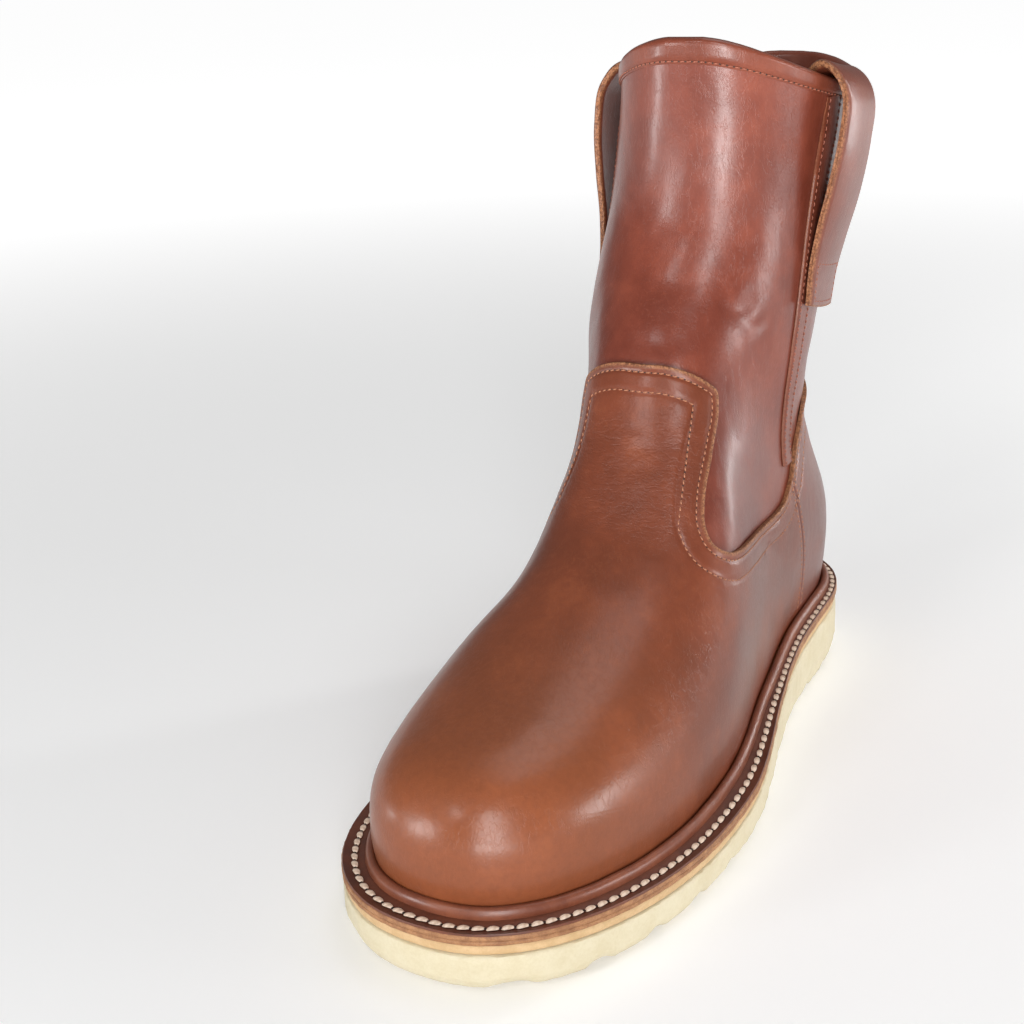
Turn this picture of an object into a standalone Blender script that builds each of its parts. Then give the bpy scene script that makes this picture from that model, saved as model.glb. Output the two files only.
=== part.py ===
"""Western work boot, pull-on, with a wedge sole: the left boot of a pair.

The upper is a smooth union of a foot, which is a dome on a plan of two half widths, and of a leg,
which is a stack of ovals. Every piece that lies against the leather is worked out from that form.
Metres, +Z up, toe towards -Y, lateral side towards +X, floor at z = 0, y = 0 under the leg.
"""

import math

import bpy
import numpy as np

# Driving sizes
FOOT_LENGTH = 0.2837    # upper from heel to toe, at its widest girth
BALL_WIDTH = 0.1015     # upper across the ball
INSTEP_HEIGHT = 0.1180  # foot's ridge where the instep starts to rise, above the floor
HEEL_HEIGHT = 0.0332    # top of the welt at the heel, above the floor
COLLAR_HEIGHT = 0.2507  # mean rim of the shaft, above the floor
COLLAR_LENGTH = 0.1210  # rim of the shaft from front to back
HEEL_BACK = 0.0483      # upper's heel behind the leg's axis

# Thicknesses and clearances
WALL = 0.0023           # leather of the upper
OVERLAY = 0.0016        # leather of the vamp and the counter
STRIP = 0.0010          # leather of the side strips
BINDING = 0.0011        # folded edge of the collar
BINDING_DEPTH = 0.0072
STRAP = 0.0030          # pull loop, two layers
GAP = 0.0003            # between curved pieces
WELT = 0.0040
MIDSOLE = 0.0032
INSOLE = 0.0028         # its board, above the welt's top

# Plan of the foot: share of the foot's length from the heel, half widths and the middle line
# as shares of the ball's width
PLAN = {
    "at": (0.0, 0.22, 0.42, 0.60, 0.70, 0.80, 1.0),
    "lateral": (0.338, 0.331, 0.409, 0.491, 0.492, 0.483, 0.460),
    "medial": (0.330, 0.318, 0.349, 0.410, 0.480, 0.487, 0.487),
}
MIDDLE = {"at": (0.0, 0.35, 0.70, 1.0), "x": (0.0, 0.0, -0.010, -0.049)}
# Ridge over the foot, shares of the instep's height
RIDGE = {
    "at": (0.0, 0.30, 0.45, 0.60, 0.75, 0.86, 1.0),
    "height": (0.800, 0.988, 1.269, 0.872, 0.680, 0.634, 0.700),
}
# Top of the welt, shares of the heel's height
WELT_LINE = {"at": (0.0, 0.12, 0.42, 0.68, 1.0), "height": (1.0, 1.0, 0.824, 0.606, 0.690)}
# Ovals of the leg: height as a share of the collar's, the rest as shares of the collar's length
LEG = {
    "height": (0.120, 0.279, 0.439, 0.598, 0.818, 1.137),
    "front": (0.371, 0.455, 0.569, 0.620, 0.498, 0.563),
    "back": (0.248, 0.275, 0.232, 0.277, 0.330, 0.437),
    "half_width": (0.182, 0.262, 0.291, 0.331, 0.336, 0.330),
    "middle": (0.0, -0.004, -0.038, -0.041, 0.004, 0.072),
}
# Loops of the upper, from the feather line (0) to the rim (1): height at the heel, and how much
# higher the loop's plane is at the toe, both as shares of the collar's height
LOOPS = {
    "loop": (0.0, 0.05, 0.12, 0.20, 0.30, 0.42, 0.55, 0.68, 0.82, 1.0),
    "heel": (0.148, 0.187, 0.239, 0.295, 0.351, 0.415, 0.511, 0.658, 0.846, 1.0),
    "tilt": (-0.040, -0.012, 0.008, 0.048, 0.168, 0.367, 0.479, 0.339, 0.140, 0.0),
}

# Form of the foot and the leg
WIDEST_ABOVE_WELT = 0.013
DEPTH_BELOW_WIDEST = 0.046
FOOT_POWER = 2.4
LEG_POWER = 2.15
TOE_POWER = 2.6
HEEL_POWER = 2.2
TOE_ROUND = 0.357       # share of the foot's length over which the toe closes
HEEL_ROUND = 0.042
FORM_RADIUS = 0.042     # turns the form's value into metres
BLEND = 0.026           # between foot and leg
COLLAR_DIP = 0.0140     # rim lower at the sides than at front and back
FRONT_RISE = 0.0068     # rim higher at the front, and lower at the back

# Sole
MARGIN = {"at": (0.0, 0.35, 0.60, 1.0), "out": (0.0073, 0.0073, 0.0115, 0.0118)}
BEAD_HEIGHT = 0.0036
BEAD_WIDTH = 0.0038
TOE_SPRING = 0.0020
SPRING_FROM = 0.74      # share of the foot's length
LUG_PITCH = 0.0220       # the land under the origin is the heel's rest
LUG_DEPTH = 0.0020
LUG_LAND = 0.55         # share of the pitch that stays flat
SOLE_TUCK = 0.0028      # bottom edge inside the top edge

# Lines on the leather: degrees round a vertical axis (0 is the front), and height as a share of the
# collar's. They run from the front's middle backwards, and hold for both sides.
AXIS_Y = -0.030
VAMP_EDGE = {
    "angle": (0, 9, 17, 23, 26.5, 27, 24.4, 22.5, 22.8, 25, 29, 38, 55, 80, 98),
    "height": (0.620, 0.619, 0.610, 0.596, 0.583, 0.565, 0.505, 0.455, 0.420, 0.396,
               0.380, 0.370, 0.362, 0.366, 0.392),
}
COUNTER_EDGE = {"angle": (98, 115, 140, 180), "height": (0.392, 0.440, 0.490, 0.525)}
SEAM = {
    "height": (0.0, 0.155, 0.227, 0.300, 0.380, 0.550, 0.640, 0.800, 1.0),
    "angle": (118, 118, 112, 104, 98, 96, 96, 100, 106),
}
CHART_RADIUS = 0.042    # turns angles into metres
STRIP_WIDTH = 0.010
STRIP_SPAN = (0.415, 0.880)  # shares of the collar's height

# Pull loops: distance off the leather at the strap's front and back edges, and height from the rim,
# along the strap's middle
LOOP_PATH = {
    "front": (0.0038, 0.0038, 0.0052, 0.0088, 0.0110, 0.0100, 0.0054, -0.0008, -0.0058, -0.0062, -0.0062),
    "back": (0.0038, 0.0038, 0.0050, 0.0078, 0.0090, 0.0084, 0.0048, -0.0008, -0.0058, -0.0062, -0.0062),
    "up": (-0.080, -0.066, -0.055, -0.036, -0.018, -0.004, 0.0028, 0.0052, 0.0008, -0.014, -0.034),
}
LOOP_WIDTH = 0.026
LOOP_AT = {"lateral": -0.016, "medial": -0.009}  # y of the loops' middle

# Steps of the meshes
AROUND = 56
ROWS = 22
SOLE_AROUND = 104
STRAP_COLUMNS = 5
STRIP_ROWS = 10
STRIP_COLUMNS = 4


def smooth(x, xs, ys):
    """Cubic through (xs, ys) with centred slopes."""
    xs, ys = np.asarray(xs, float), np.asarray(ys, float)
    slope = np.gradient(ys, xs)
    step = np.diff(xs)
    x = np.clip(x, xs[0], xs[-1])
    i = np.clip(np.searchsorted(xs, x, side="right") - 1, 0, len(xs) - 2)
    t = (x - xs[i]) / step[i]
    return (
        (1 + 2 * t) * (1 - t) ** 2 * ys[i]
        + t * (1 - t) ** 2 * step[i] * slope[i]
        + t * t * (3 - 2 * t) * ys[i + 1]
        + t * t * (t - 1) * step[i] * slope[i + 1]
    )


def column(table, key, name, x, unit):
    """Value of one column of a table at x, times its unit."""
    return smooth(x, table[key], table[name]) * unit


def along(y):
    """Share of the foot's length from the heel."""
    return (HEEL_BACK - y) / FOOT_LENGTH


def welt_top(y):
    return column(WELT_LINE, "at", "height", along(y), HEEL_HEIGHT)


def middle(y):
    return column(MIDDLE, "at", "x", along(y), BALL_WIDTH)


def foot_value(x, y, z):
    """Dome over the plan, less the leather laid over it: negative inside."""
    a = along(y)
    dx = x - middle(y)
    half = np.where(
        dx > 0,
        column(PLAN, "at", "lateral", a, BALL_WIDTH),
        column(PLAN, "at", "medial", a, BALL_WIDTH),
    )
    widest = welt_top(y) + WIDEST_ABOVE_WELT
    ridge = column(RIDGE, "at", "height", a, INSTEP_HEIGHT)
    high = np.where(z > widest, ridge - widest, DEPTH_BELOW_WIDEST)
    toe = TOE_ROUND * FOOT_LENGTH
    ahead = np.clip((HEEL_BACK - FOOT_LENGTH + toe - y) / toe, 0, None)
    behind = np.clip((y - HEEL_BACK + HEEL_ROUND) / HEEL_ROUND, 0, None)
    total = (
        np.abs(dx / half) ** FOOT_POWER
        + np.abs((z - widest) / high) ** FOOT_POWER
        + ahead ** TOE_POWER
        + behind ** HEEL_POWER
    )
    return (total ** (1 / FOOT_POWER) - 1) * FORM_RADIUS + OVERLAY + GAP


def leg_value(x, y, z):
    """Stack of ovals: negative inside."""
    h = z / COLLAR_HEIGHT
    front = column(LEG, "height", "front", h, COLLAR_LENGTH)
    back = column(LEG, "height", "back", h, COLLAR_LENGTH)
    half = column(LEG, "height", "half_width", h, COLLAR_LENGTH)
    mid = column(LEG, "height", "middle", h, COLLAR_LENGTH)
    total = (
        np.abs((x - mid) / half) ** LEG_POWER
        + np.abs((y - (back - front) / 2) / ((front + back) / 2)) ** LEG_POWER
    )
    return (total ** (1 / LEG_POWER) - 1) * FORM_RADIUS


def form(x, y, z):
    """Smooth union of foot and leg."""
    foot, leg = foot_value(x, y, z), leg_value(x, y, z)
    h = np.clip(0.5 + 0.5 * (leg - foot) / BLEND, 0, 1)
    return leg * (1 - h) + foot * h - BLEND * h * (1 - h)


def normals(points):
    """Outward unit normals of the form at points (..., 3)."""
    step = 0.0004
    x, y, z = np.moveaxis(points, -1, 0)
    grad = np.stack(
        [
            form(x + step, y, z) - form(x - step, y, z),
            form(x, y + step, z) - form(x, y - step, z),
            form(x, y, z + step) - form(x, y, z - step),
        ],
        -1,
    )
    return grad / np.linalg.norm(grad, axis=-1, keepdims=True)


def level(v, y):
    """Height of loop v at y."""
    heel = column(LOOPS, "loop", "heel", v, COLLAR_HEIGHT)
    tilt = column(LOOPS, "loop", "tilt", v, COLLAR_HEIGHT)
    share = y / (HEEL_BACK - FOOT_LENGTH)
    base = COLLAR_HEIGHT * (LOOPS["heel"][0] + LOOPS["tilt"][0] * share)
    low = (welt_top(y) - base) * np.clip(1 - v / 0.25, 0, 1) ** 2
    h = LEG["height"][-1]
    front = column(LEG, "height", "front", h, COLLAR_LENGTH)
    back = column(LEG, "height", "back", h, COLLAR_LENGTH)
    r = (y - (back - front) / 2) / ((front + back) / 2)
    top = (COLLAR_DIP * (r ** 2 - 0.5) - FRONT_RISE * r) * np.clip((v - 0.68) / 0.32, 0, 1) ** 2
    return heel + tilt * share + low + top


def bisect(inside, low, high, rounds=34):
    """The value between low and high where inside stops being true."""
    for _ in range(rounds):
        mid = (low + high) / 2
        hit = inside(mid)
        low, high = np.where(hit, mid, low), np.where(hit, high, mid)
    return (low + high) / 2


def side_x(side, y, z):
    """x of the form's surface on one side (+1 lateral, -1 medial)."""
    x0 = middle(y)
    reach = bisect(lambda d: form(x0 + side * d, y, z) < 0, np.zeros_like(y), np.full_like(y, 0.095))
    return x0 + side * reach


def loops(rows, around):
    """Grid (rows, around, 3) on the form. Each row is (loop, lift): its loop and a height added to it.

    Column 0 is the centre of the heel, the lateral side comes first, and column around / 2 is the
    centre of the front.
    """
    v = np.array([row[0] for row in rows])[:, None]
    lift = np.array([row[1] for row in rows])[:, None]

    def inside(y):
        return form(middle(y), y, level(v, y) + lift) < 0

    start = np.full_like(v, -0.015)
    back = bisect(inside, start, np.full_like(v, HEEL_BACK + 0.040))
    front = bisect(inside, start, np.full_like(v, HEEL_BACK - FOOT_LENGTH - 0.015))
    angle = np.linspace(0, 2 * math.pi, around, endpoint=False)[None, :]
    y = back + (front - back) * (1 - np.cos(angle)) / 2
    z = level(v, y) + lift
    side = np.where(np.sin(angle) >= 0, 1.0, -1.0) * np.ones_like(y)
    x = side_x(side, y, z)
    ends = np.abs(np.sin(angle)) < 1e-9
    x = np.where(ends, middle(y), x)
    return np.stack([x, y, z], -1)


def pushed(points, distance):
    """The points moved along the form's normals."""
    return points + normals(points) * distance


def plan_offset(loop, distance):
    """A closed loop (n, 3) moved outwards in plan."""
    tangent = np.roll(loop, -1, 0) - np.roll(loop, 1, 0)
    normal = np.stack([-tangent[:, 1], tangent[:, 0]], -1)
    normal /= np.linalg.norm(normal, axis=1, keepdims=True)
    ahead = np.roll(loop, -1, 0)
    if np.sum(loop[:, 0] * ahead[:, 1] - ahead[:, 0] * loop[:, 1]) > 0:
        normal = -normal
    out = loop.copy()
    out[:, :2] += normal * np.reshape(distance, (-1, 1))
    return out


def at_height(loop, z):
    """The loop with its heights replaced."""
    out = loop.copy()
    out[:, 2] = z
    return out


def even_stations(loop, around):
    """Angles that space a loop evenly, the same on both sides."""
    half = len(loop) // 2 + 1
    step = np.linalg.norm(np.diff(loop, axis=0), axis=1)
    lateral = np.concatenate([[0], np.cumsum(step[: half - 1])])
    back = np.linalg.norm(np.diff(np.vstack([loop, loop[:1]])[::-1], axis=0), axis=1)
    medial = np.concatenate([[0], np.cumsum(back[: half - 1])])
    length = lateral / lateral[-1] + medial / medial[-1]
    share = np.linspace(0, half - 1, half) / (half - 1)
    return np.interp(np.linspace(0, 2, around // 2 + 1), length, share)


# Meshes


def add_mesh(name, points, faces):
    """A new object from points and polygons, turned outwards."""
    mesh = bpy.data.meshes.new(name)
    mesh.from_pydata([tuple(p) for p in points], [], faces)
    mesh.validate()
    tri = np.array([(f[0], f[k], f[k + 1]) for f in faces for k in range(1, len(f) - 1)])
    p = np.asarray(points)[tri]
    if np.einsum("ij,ij->i", p[:, 0], np.cross(p[:, 1], p[:, 2])).sum() < 0:
        mesh.flip_normals()
    obj = bpy.data.objects.new(name, mesh)
    bpy.context.scene.collection.objects.link(obj)
    return obj


def wrap(rings, closed):
    """Triangles between successive rings (k, n, 3), back to the first one where closed."""
    k, n = rings.shape[:2]
    faces = []
    for j in range(k if closed else k - 1):
        nxt = (j + 1) % k
        for i in range(n):
            e = (i + 1) % n
            faces.append((j * n + i, j * n + e, nxt * n + e))
            faces.append((j * n + i, nxt * n + e, nxt * n + i))
    return faces


def strips(first, n):
    """Faces across a loop whose column i lies opposite column n - i."""
    faces = []
    for i in range(n // 2):
        quad = (first + i, first + i + 1, first + n - i - 1, first + (n - i) % n)
        faces.append(tuple(dict.fromkeys(quad)))
    return faces


def ring_solid(name, rings):
    """A solid that goes round, through closed cross-sections."""
    rings = np.stack(rings)
    return add_mesh(name, rings.reshape(-1, 3), wrap(rings, True))


def plate(name, rings):
    """A plate between its first and its last loop."""
    rings = np.stack(rings)
    k, n = rings.shape[:2]
    faces = wrap(rings, False)
    faces += [face[::-1] for face in strips(0, n)]
    faces += strips((k - 1) * n, n)
    return add_mesh(name, rings.reshape(-1, 3), faces)


def band(name, inner, outer):
    """A strip between two grids (rows, columns, 3) that lie over each other."""
    r, c = inner.shape[:2]
    points = np.concatenate([inner.reshape(-1, 3), outer.reshape(-1, 3)])
    m = r * c
    faces = []
    for j in range(r - 1):
        for i in range(c - 1):
            a = j * c + i
            faces.append((a, a + c, a + c + 1, a + 1))
            faces.append((m + a, m + a + 1, m + a + c + 1, m + a + c))
    edge = [i for i in range(c)]
    edge += [j * c + c - 1 for j in range(1, r)]
    edge += [(r - 1) * c + i for i in range(c - 2, -1, -1)]
    edge += [j * c for j in range(r - 2, 0, -1)]
    for a, b in zip(edge, edge[1:] + edge[:1]):
        faces.append((a, b, m + b, m + a))
    return add_mesh(name, points, faces)


def chart(points):
    """Points as (metres round the axis from the front, height): an unrolled view of the leather."""
    angle = np.arctan2(points[..., 0], AXIS_Y - points[..., 1])
    return np.stack([angle * CHART_RADIUS, points[..., 2]], -1)


def outline_distance(outline, at):
    """Distance to a closed outline of the chart, positive inside."""
    best = np.full(at.shape[:-1], np.inf)
    inside = np.zeros(at.shape[:-1], bool)
    for a, b in zip(outline, np.roll(outline, -1, 0)):
        edge = b - a
        t = np.clip(((at - a) @ edge) / (edge @ edge), 0, 1)
        best = np.minimum(best, np.linalg.norm(at - a - t[..., None] * edge, axis=-1))
        if abs(edge[1]) > 1e-12:
            crosses = (a[1] > at[..., 1]) != (b[1] > at[..., 1])
            inside ^= crosses & (at[..., 0] < edge[0] * (at[..., 1] - a[1]) / edge[1] + a[0])
    return np.where(inside, best, -best)


def path(table, steps):
    """Smooth line of the chart through a table of angles and heights."""
    angle, height = np.asarray(table["angle"], float), np.asarray(table["height"], float)
    length = np.hypot(np.diff(np.radians(angle) * CHART_RADIUS), np.diff(height * COLLAR_HEIGHT))
    at = np.concatenate([[0], np.cumsum(length)])
    t = np.linspace(0, at[-1], steps)
    return np.stack(
        [np.radians(smooth(t, at, angle)) * CHART_RADIUS, smooth(t, at, height) * COLLAR_HEIGHT], -1
    )


def seam_line(top, shift):
    """The side seam from a height down past the floor, moved round by shift."""
    z = np.linspace(top, -0.02, 12)
    angle = smooth(z / COLLAR_HEIGHT, SEAM["height"], SEAM["angle"])
    return np.stack([np.radians(angle) * CHART_RADIUS + shift, z], -1)


def cut_overlay(name, inner, outer, value):
    """The part of the layer between two grids where value is positive, as one solid.

    Each triangle of the upper's own facets is clipped where the value, taken as straight along its
    edges, reaches zero.
    """
    rows, n = value.shape
    points_in, points_out, index = [], [], {}

    def corner(j, i):
        key = (j, i)
        if key not in index:
            index[key] = len(points_in)
            points_in.append(inner[j, i])
            points_out.append(outer[j, i])
        return index[key]

    def crossing(a, b):
        key = (min(a, b), max(a, b))
        if key not in index:
            p, q = key
            t = value[p] / (value[p] - value[q])
            t = min(max(t, 0.02), 0.98)
            index[key] = len(points_in)
            points_in.append(inner[p] + (inner[q] - inner[p]) * t)
            points_out.append(outer[p] + (outer[q] - outer[p]) * t)
        return index[key]

    polygons = []
    for j in range(rows - 1):
        for i in range(n):
            e = (i + 1) % n
            for tri in (((j, i), (j, e), (j + 1, e)), ((j, i), (j + 1, e), (j + 1, i))):
                face = []
                for a, b in zip(tri, tri[1:] + tri[:1]):
                    if value[a] > 0:
                        face.append(corner(*a))
                    if (value[a] > 0) != (value[b] > 0):
                        face.append(crossing(a, b))
                if len(face) > 2:
                    polygons.append(face)
    edges = {}
    for face in polygons:
        for a, b in zip(face, face[1:] + face[:1]):
            edges[(a, b)] = True
    m = len(points_in)
    faces = [tuple(face[::-1]) for face in polygons]
    faces += [tuple(m + k for k in face) for face in polygons]
    for a, b in edges:
        if (b, a) not in edges:
            faces.append((a, b, m + b, m + a))
    return add_mesh(name, np.array(points_in + points_out), faces)


# The boot


def upper_rows():
    """Rows of the upper's grid: the first two and the last two match the welt's bead and the binding."""
    inner = [(v, 0.0) for v in np.linspace(0.045, 0.95, ROWS - 4)]
    return [(0.0, 3 * GAP), (0.0, GAP + BEAD_HEIGHT)] + inner + [(1.0, -BINDING_DEPTH), (1.0, 0.0)]


def build_upper(grid):
    """The hollow wall: the form, and the form pushed in by the wall."""
    wall = np.concatenate([grid, pushed(grid, -WALL)[::-1]])
    ring_solid("upper", list(wall))


def build_overlays(grid):
    """Vamp with its plug, and counter, cut from the layer just outside the upper."""
    body = grid[:-2]
    inner, outer = pushed(body, GAP), pushed(body, GAP + OVERLAY)
    at = chart(body)
    mirror = np.array([-1.0, 1.0])
    half = np.vstack([path(VAMP_EDGE, 60), seam_line(VAMP_EDGE["height"][-1] * COLLAR_HEIGHT, -GAP)])
    outline = np.vstack([half, (half * mirror)[:0:-1]])
    cut_overlay("vamp", inner, outer, outline_distance(outline, at))
    half = np.vstack([
        seam_line(COUNTER_EDGE["height"][0] * COLLAR_HEIGHT, GAP)[::-1],
        path(COUNTER_EDGE, 16),
    ])
    turn = np.array([2 * math.pi * CHART_RADIUS, 0.0])
    outline = np.vstack([half, (half * mirror + turn)[-2::-1]])
    at = np.where(at[..., :1] < 0, at + turn, at)
    cut_overlay("counter", inner, outer, outline_distance(outline, at))


def on_leather(line):
    """Points of the form under a line of the chart: along a ray from the axis."""
    angle, z = line[..., 0] / CHART_RADIUS, line[..., 1]
    dx, dy = np.sin(angle), -np.cos(angle)
    reach = bisect(
        lambda r: form(dx * r, AXIS_Y + dy * r, z) < 0, np.zeros_like(z), np.full_like(z, 0.24)
    )
    return np.stack([dx * reach, AXIS_Y + dy * reach, z], -1)


def build_strip(name, side, low, high):
    """Raised strip down the side seam of the shaft."""
    z = np.linspace(low, high, STRIP_ROWS)
    angle = smooth(z / COLLAR_HEIGHT, SEAM["height"], SEAM["angle"])
    across = np.linspace(-0.5, 0.5, STRIP_COLUMNS) * STRIP_WIDTH
    s = np.radians(angle)[:, None] * CHART_RADIUS + across[None, :]
    line = np.stack([side * s, z[:, None] + np.zeros_like(s)], -1)
    points = on_leather(line)
    band(name, pushed(points, 2 * GAP), pushed(points, 2 * GAP + STRIP))


def build_binding():
    """Folded edge over the rim."""
    low, rim = loops([(1.0, -BINDING_DEPTH), (1.0, 0.0)], AROUND)
    up = np.array([0, 0, 1.0])
    near, far = GAP, GAP + BINDING
    rings = [
        pushed(low, near),
        pushed(low, far),
        pushed(rim, far),
        pushed(rim, -WALL / 2) + up * (far + 0.0006),
        pushed(rim, -WALL - far),
        pushed(low, -WALL - far),
        pushed(low, -WALL - near),
        pushed(rim, -WALL - near) + up * near,
        pushed(rim, near) + up * near,
    ]
    ring_solid("collar_binding", rings)


def build_loop(name, side, at):
    """Pull strap: from the outside of the shaft, over the rim and down inside."""
    front, back = np.asarray(LOOP_PATH["front"]), np.asarray(LOOP_PATH["back"])
    ups = np.asarray(LOOP_PATH["up"])
    away = np.gradient((front + back) / 2)
    climb = np.gradient(ups)
    size = np.hypot(away, climb)
    normal_off, normal_up = climb / size, -away / size
    share = np.linspace(-0.5, 0.5, STRAP_COLUMNS)[None, :] * side
    y = at + share * LOOP_WIDTH
    offs = front[:, None] + (back - front)[:, None] * (share + 0.5)
    rim = level(1.0, y)

    def face(shift):
        off = offs + (normal_off * shift)[:, None]
        rise = (ups + normal_up * shift)[:, None]
        below = np.minimum(rise, 0.0)
        z = rim + below
        yy = y + np.zeros_like(z)
        points = np.stack([side_x(side, yy, z), yy, z], -1)
        points = points + normals(points) * off[..., None]
        points[..., 2] += np.maximum(rise, 0.0)
        return points

    band(name, face(-STRAP / 2), face(STRAP / 2))


def margin(loop):
    """How far the sole's edge stands outside the bare upper's feather line."""
    return np.interp(along(loop[:, 1]), MARGIN["at"], MARGIN["out"]) + OVERLAY + GAP


def build_welt():
    """Strip round the feather line, with the raised bead against the leather."""
    low, high = loops([(0.0, 0.0), (0.0, GAP + BEAD_HEIGHT)], AROUND)
    clear = 2 * GAP + OVERLAY
    top = welt_top(low[:, 1])
    edge = plan_offset(low, margin(low))
    inside = plan_offset(low, -WALL - 0.0012)
    foot = pushed(low, clear + BEAD_WIDTH)
    rings = [
        at_height(inside, welt_top(inside[:, 1]) - WELT),
        at_height(inside, welt_top(inside[:, 1])),
        at_height(pushed(low, clear), top + 0.0001),
        pushed(high, clear),
        pushed(high, clear + BEAD_WIDTH * 0.55),
        at_height(foot, welt_top(foot[:, 1])),
        at_height(edge, welt_top(edge[:, 1])),
        at_height(edge, welt_top(edge[:, 1]) - WELT),
    ]
    ring_solid("welt", rings)


def build_insole():
    """Board and filler inside the upper, down to the midsole."""
    low = loops([(0.0, 0.0)], AROUND)[0]
    edge = plan_offset(low, -WALL - 0.0015)
    z = welt_top(edge[:, 1])
    plate("insole", [at_height(edge, z - WELT + 0.0), at_height(edge, z + INSOLE)])


def sole_loop(around):
    """Feather line with evenly spaced columns."""
    fine = loops([(0.0, 0.0)], 480)[0]
    share = even_stations(fine, around)
    index = share * 240
    lateral = np.stack([np.interp(index, np.arange(241), fine[:241, k]) for k in range(3)], -1)
    wrapped = np.vstack([fine, fine[:1]])[::-1]
    medial = np.stack([np.interp(index, np.arange(241), wrapped[:241, k]) for k in range(3)], -1)
    return np.vstack([lateral, medial[1:-1][::-1]])


def lugs(y):
    """Height of the tread above the floor: flat lands with scallops between, and the toe's spring."""
    phase = (y / LUG_PITCH + LUG_LAND / 2) % 1.0
    dip = np.clip((phase - LUG_LAND) / (1 - LUG_LAND), 0, 1)
    spring = TOE_SPRING * np.clip((along(y) - SPRING_FROM) / (1.03 - SPRING_FROM), 0, None) ** 2
    return spring + LUG_DEPTH * np.sin(math.pi * dip) ** 1.2


def build_soles():
    """Midsole, and the wedge with its lugs."""
    base = loops([(0.0, 0.0)], AROUND)[0]
    edge = plan_offset(base, margin(base) - 0.0006)
    z = welt_top(edge[:, 1]) - WELT - GAP
    plate("midsole", [at_height(edge, z - MIDSOLE), at_height(edge, z)])
    base = sole_loop(SOLE_AROUND)
    top = plan_offset(base, margin(base))
    low = plan_offset(base, margin(base) - SOLE_TUCK)
    z = welt_top(top[:, 1]) - WELT - MIDSOLE - 2 * GAP
    tread = lugs(low[:, 1])
    plate(
        "outsole",
        [
            at_height(low, tread),
            at_height(top, tread + (z - tread) * 0.35),
            at_height(top, z),
        ],
    )


def main():
    for obj in list(bpy.data.objects):
        bpy.data.objects.remove(obj)
    grid = loops(upper_rows(), AROUND)
    build_soles()
    build_welt()
    build_insole()
    build_upper(grid)
    build_overlays(grid)
    low, high = (share * COLLAR_HEIGHT for share in STRIP_SPAN)
    build_strip("side_strip_lateral", 1.0, low, high)
    build_strip("side_strip_medial", -1.0, low, high)
    build_binding()
    build_loop("pull_loop_lateral", 1.0, LOOP_AT["lateral"])
    build_loop("pull_loop_medial", -1.0, LOOP_AT["medial"])


main()
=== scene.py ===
"""Looks of the left boot of a pair of pull-on western work boots with a wedge sole.

The form of the leather is worked out here from the same named sizes as in the part, on fine grids, so
each visible surface lies on or over its CAD solid. Metres, +Z up, toe towards -Y, outer side towards +X.
"""

import logging
import math
from dataclasses import dataclass, field
from enum import Enum
from typing import Callable, Dict, List, Optional, Sequence, Tuple, Union

import bpy
import numpy as np
from mathutils import Matrix, Vector


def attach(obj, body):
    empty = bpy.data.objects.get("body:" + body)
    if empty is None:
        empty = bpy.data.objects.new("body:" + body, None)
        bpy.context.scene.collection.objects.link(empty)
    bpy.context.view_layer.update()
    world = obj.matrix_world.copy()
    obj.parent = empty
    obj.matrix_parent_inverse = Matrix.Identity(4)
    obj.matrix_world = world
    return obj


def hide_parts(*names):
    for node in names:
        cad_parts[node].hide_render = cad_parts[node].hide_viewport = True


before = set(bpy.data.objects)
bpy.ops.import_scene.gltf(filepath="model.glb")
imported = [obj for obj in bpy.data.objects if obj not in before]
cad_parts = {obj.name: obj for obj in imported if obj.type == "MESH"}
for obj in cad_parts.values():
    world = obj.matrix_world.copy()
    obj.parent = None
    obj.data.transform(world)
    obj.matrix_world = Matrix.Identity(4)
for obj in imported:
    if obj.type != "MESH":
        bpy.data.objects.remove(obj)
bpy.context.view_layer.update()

Array = np.ndarray
Row = Tuple[Array, Array, bool]
log = logging.getLogger("boot")

TURN = 2 * math.pi
MM = 0.001


# Numbers along tables


def smooth(x: Array, xs: Sequence[float], ys: Sequence[float]) -> Array:
    """Cubic through (xs, ys) with centred slopes, held at its ends.

    Args:
        x: Where it is read.
        xs: Rising places of the table.
        ys: Values at those places.

    Returns:
        The values at x.
    """
    xs, ys = np.asarray(xs, float), np.asarray(ys, float)
    slope = np.gradient(ys, xs)
    step = np.diff(xs)
    x = np.clip(x, xs[0], xs[-1])
    i = np.clip(np.searchsorted(xs, x, side="right") - 1, 0, len(xs) - 2)
    t = (x - xs[i]) / step[i]
    return (
        (1 + 2 * t) * (1 - t) ** 2 * ys[i]
        + t * (1 - t) ** 2 * step[i] * slope[i]
        + t * t * (3 - 2 * t) * ys[i + 1]
        + t * t * (t - 1) * step[i] * slope[i + 1]
    )


def ease(x: Array, low: float, high: float) -> Array:
    """A soft step from 0 at low to 1 at high: 3t² - 2t³."""
    t = np.clip((x - low) / (high - low), 0, 1)
    return t * t * (3 - 2 * t)


class Columns:
    """A short table with named columns."""

    def __init__(self, **columns: Sequence[float]) -> None:
        """Keeps the columns as arrays."""
        self.columns = {name: np.asarray(values, float) for name, values in columns.items()}

    def read(self, over: str, name: str, x: Array, unit: float = 1.0) -> Array:
        """One column as a smooth function of another, times a unit.

        Args:
            over: Column that holds the places.
            name: Column that holds the values.
            x: Where it is read.
            unit: What one in the table stands for.

        Returns:
            The values at x.
        """
        return smooth(x, self.columns[over], self.columns[name]) * unit


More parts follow.
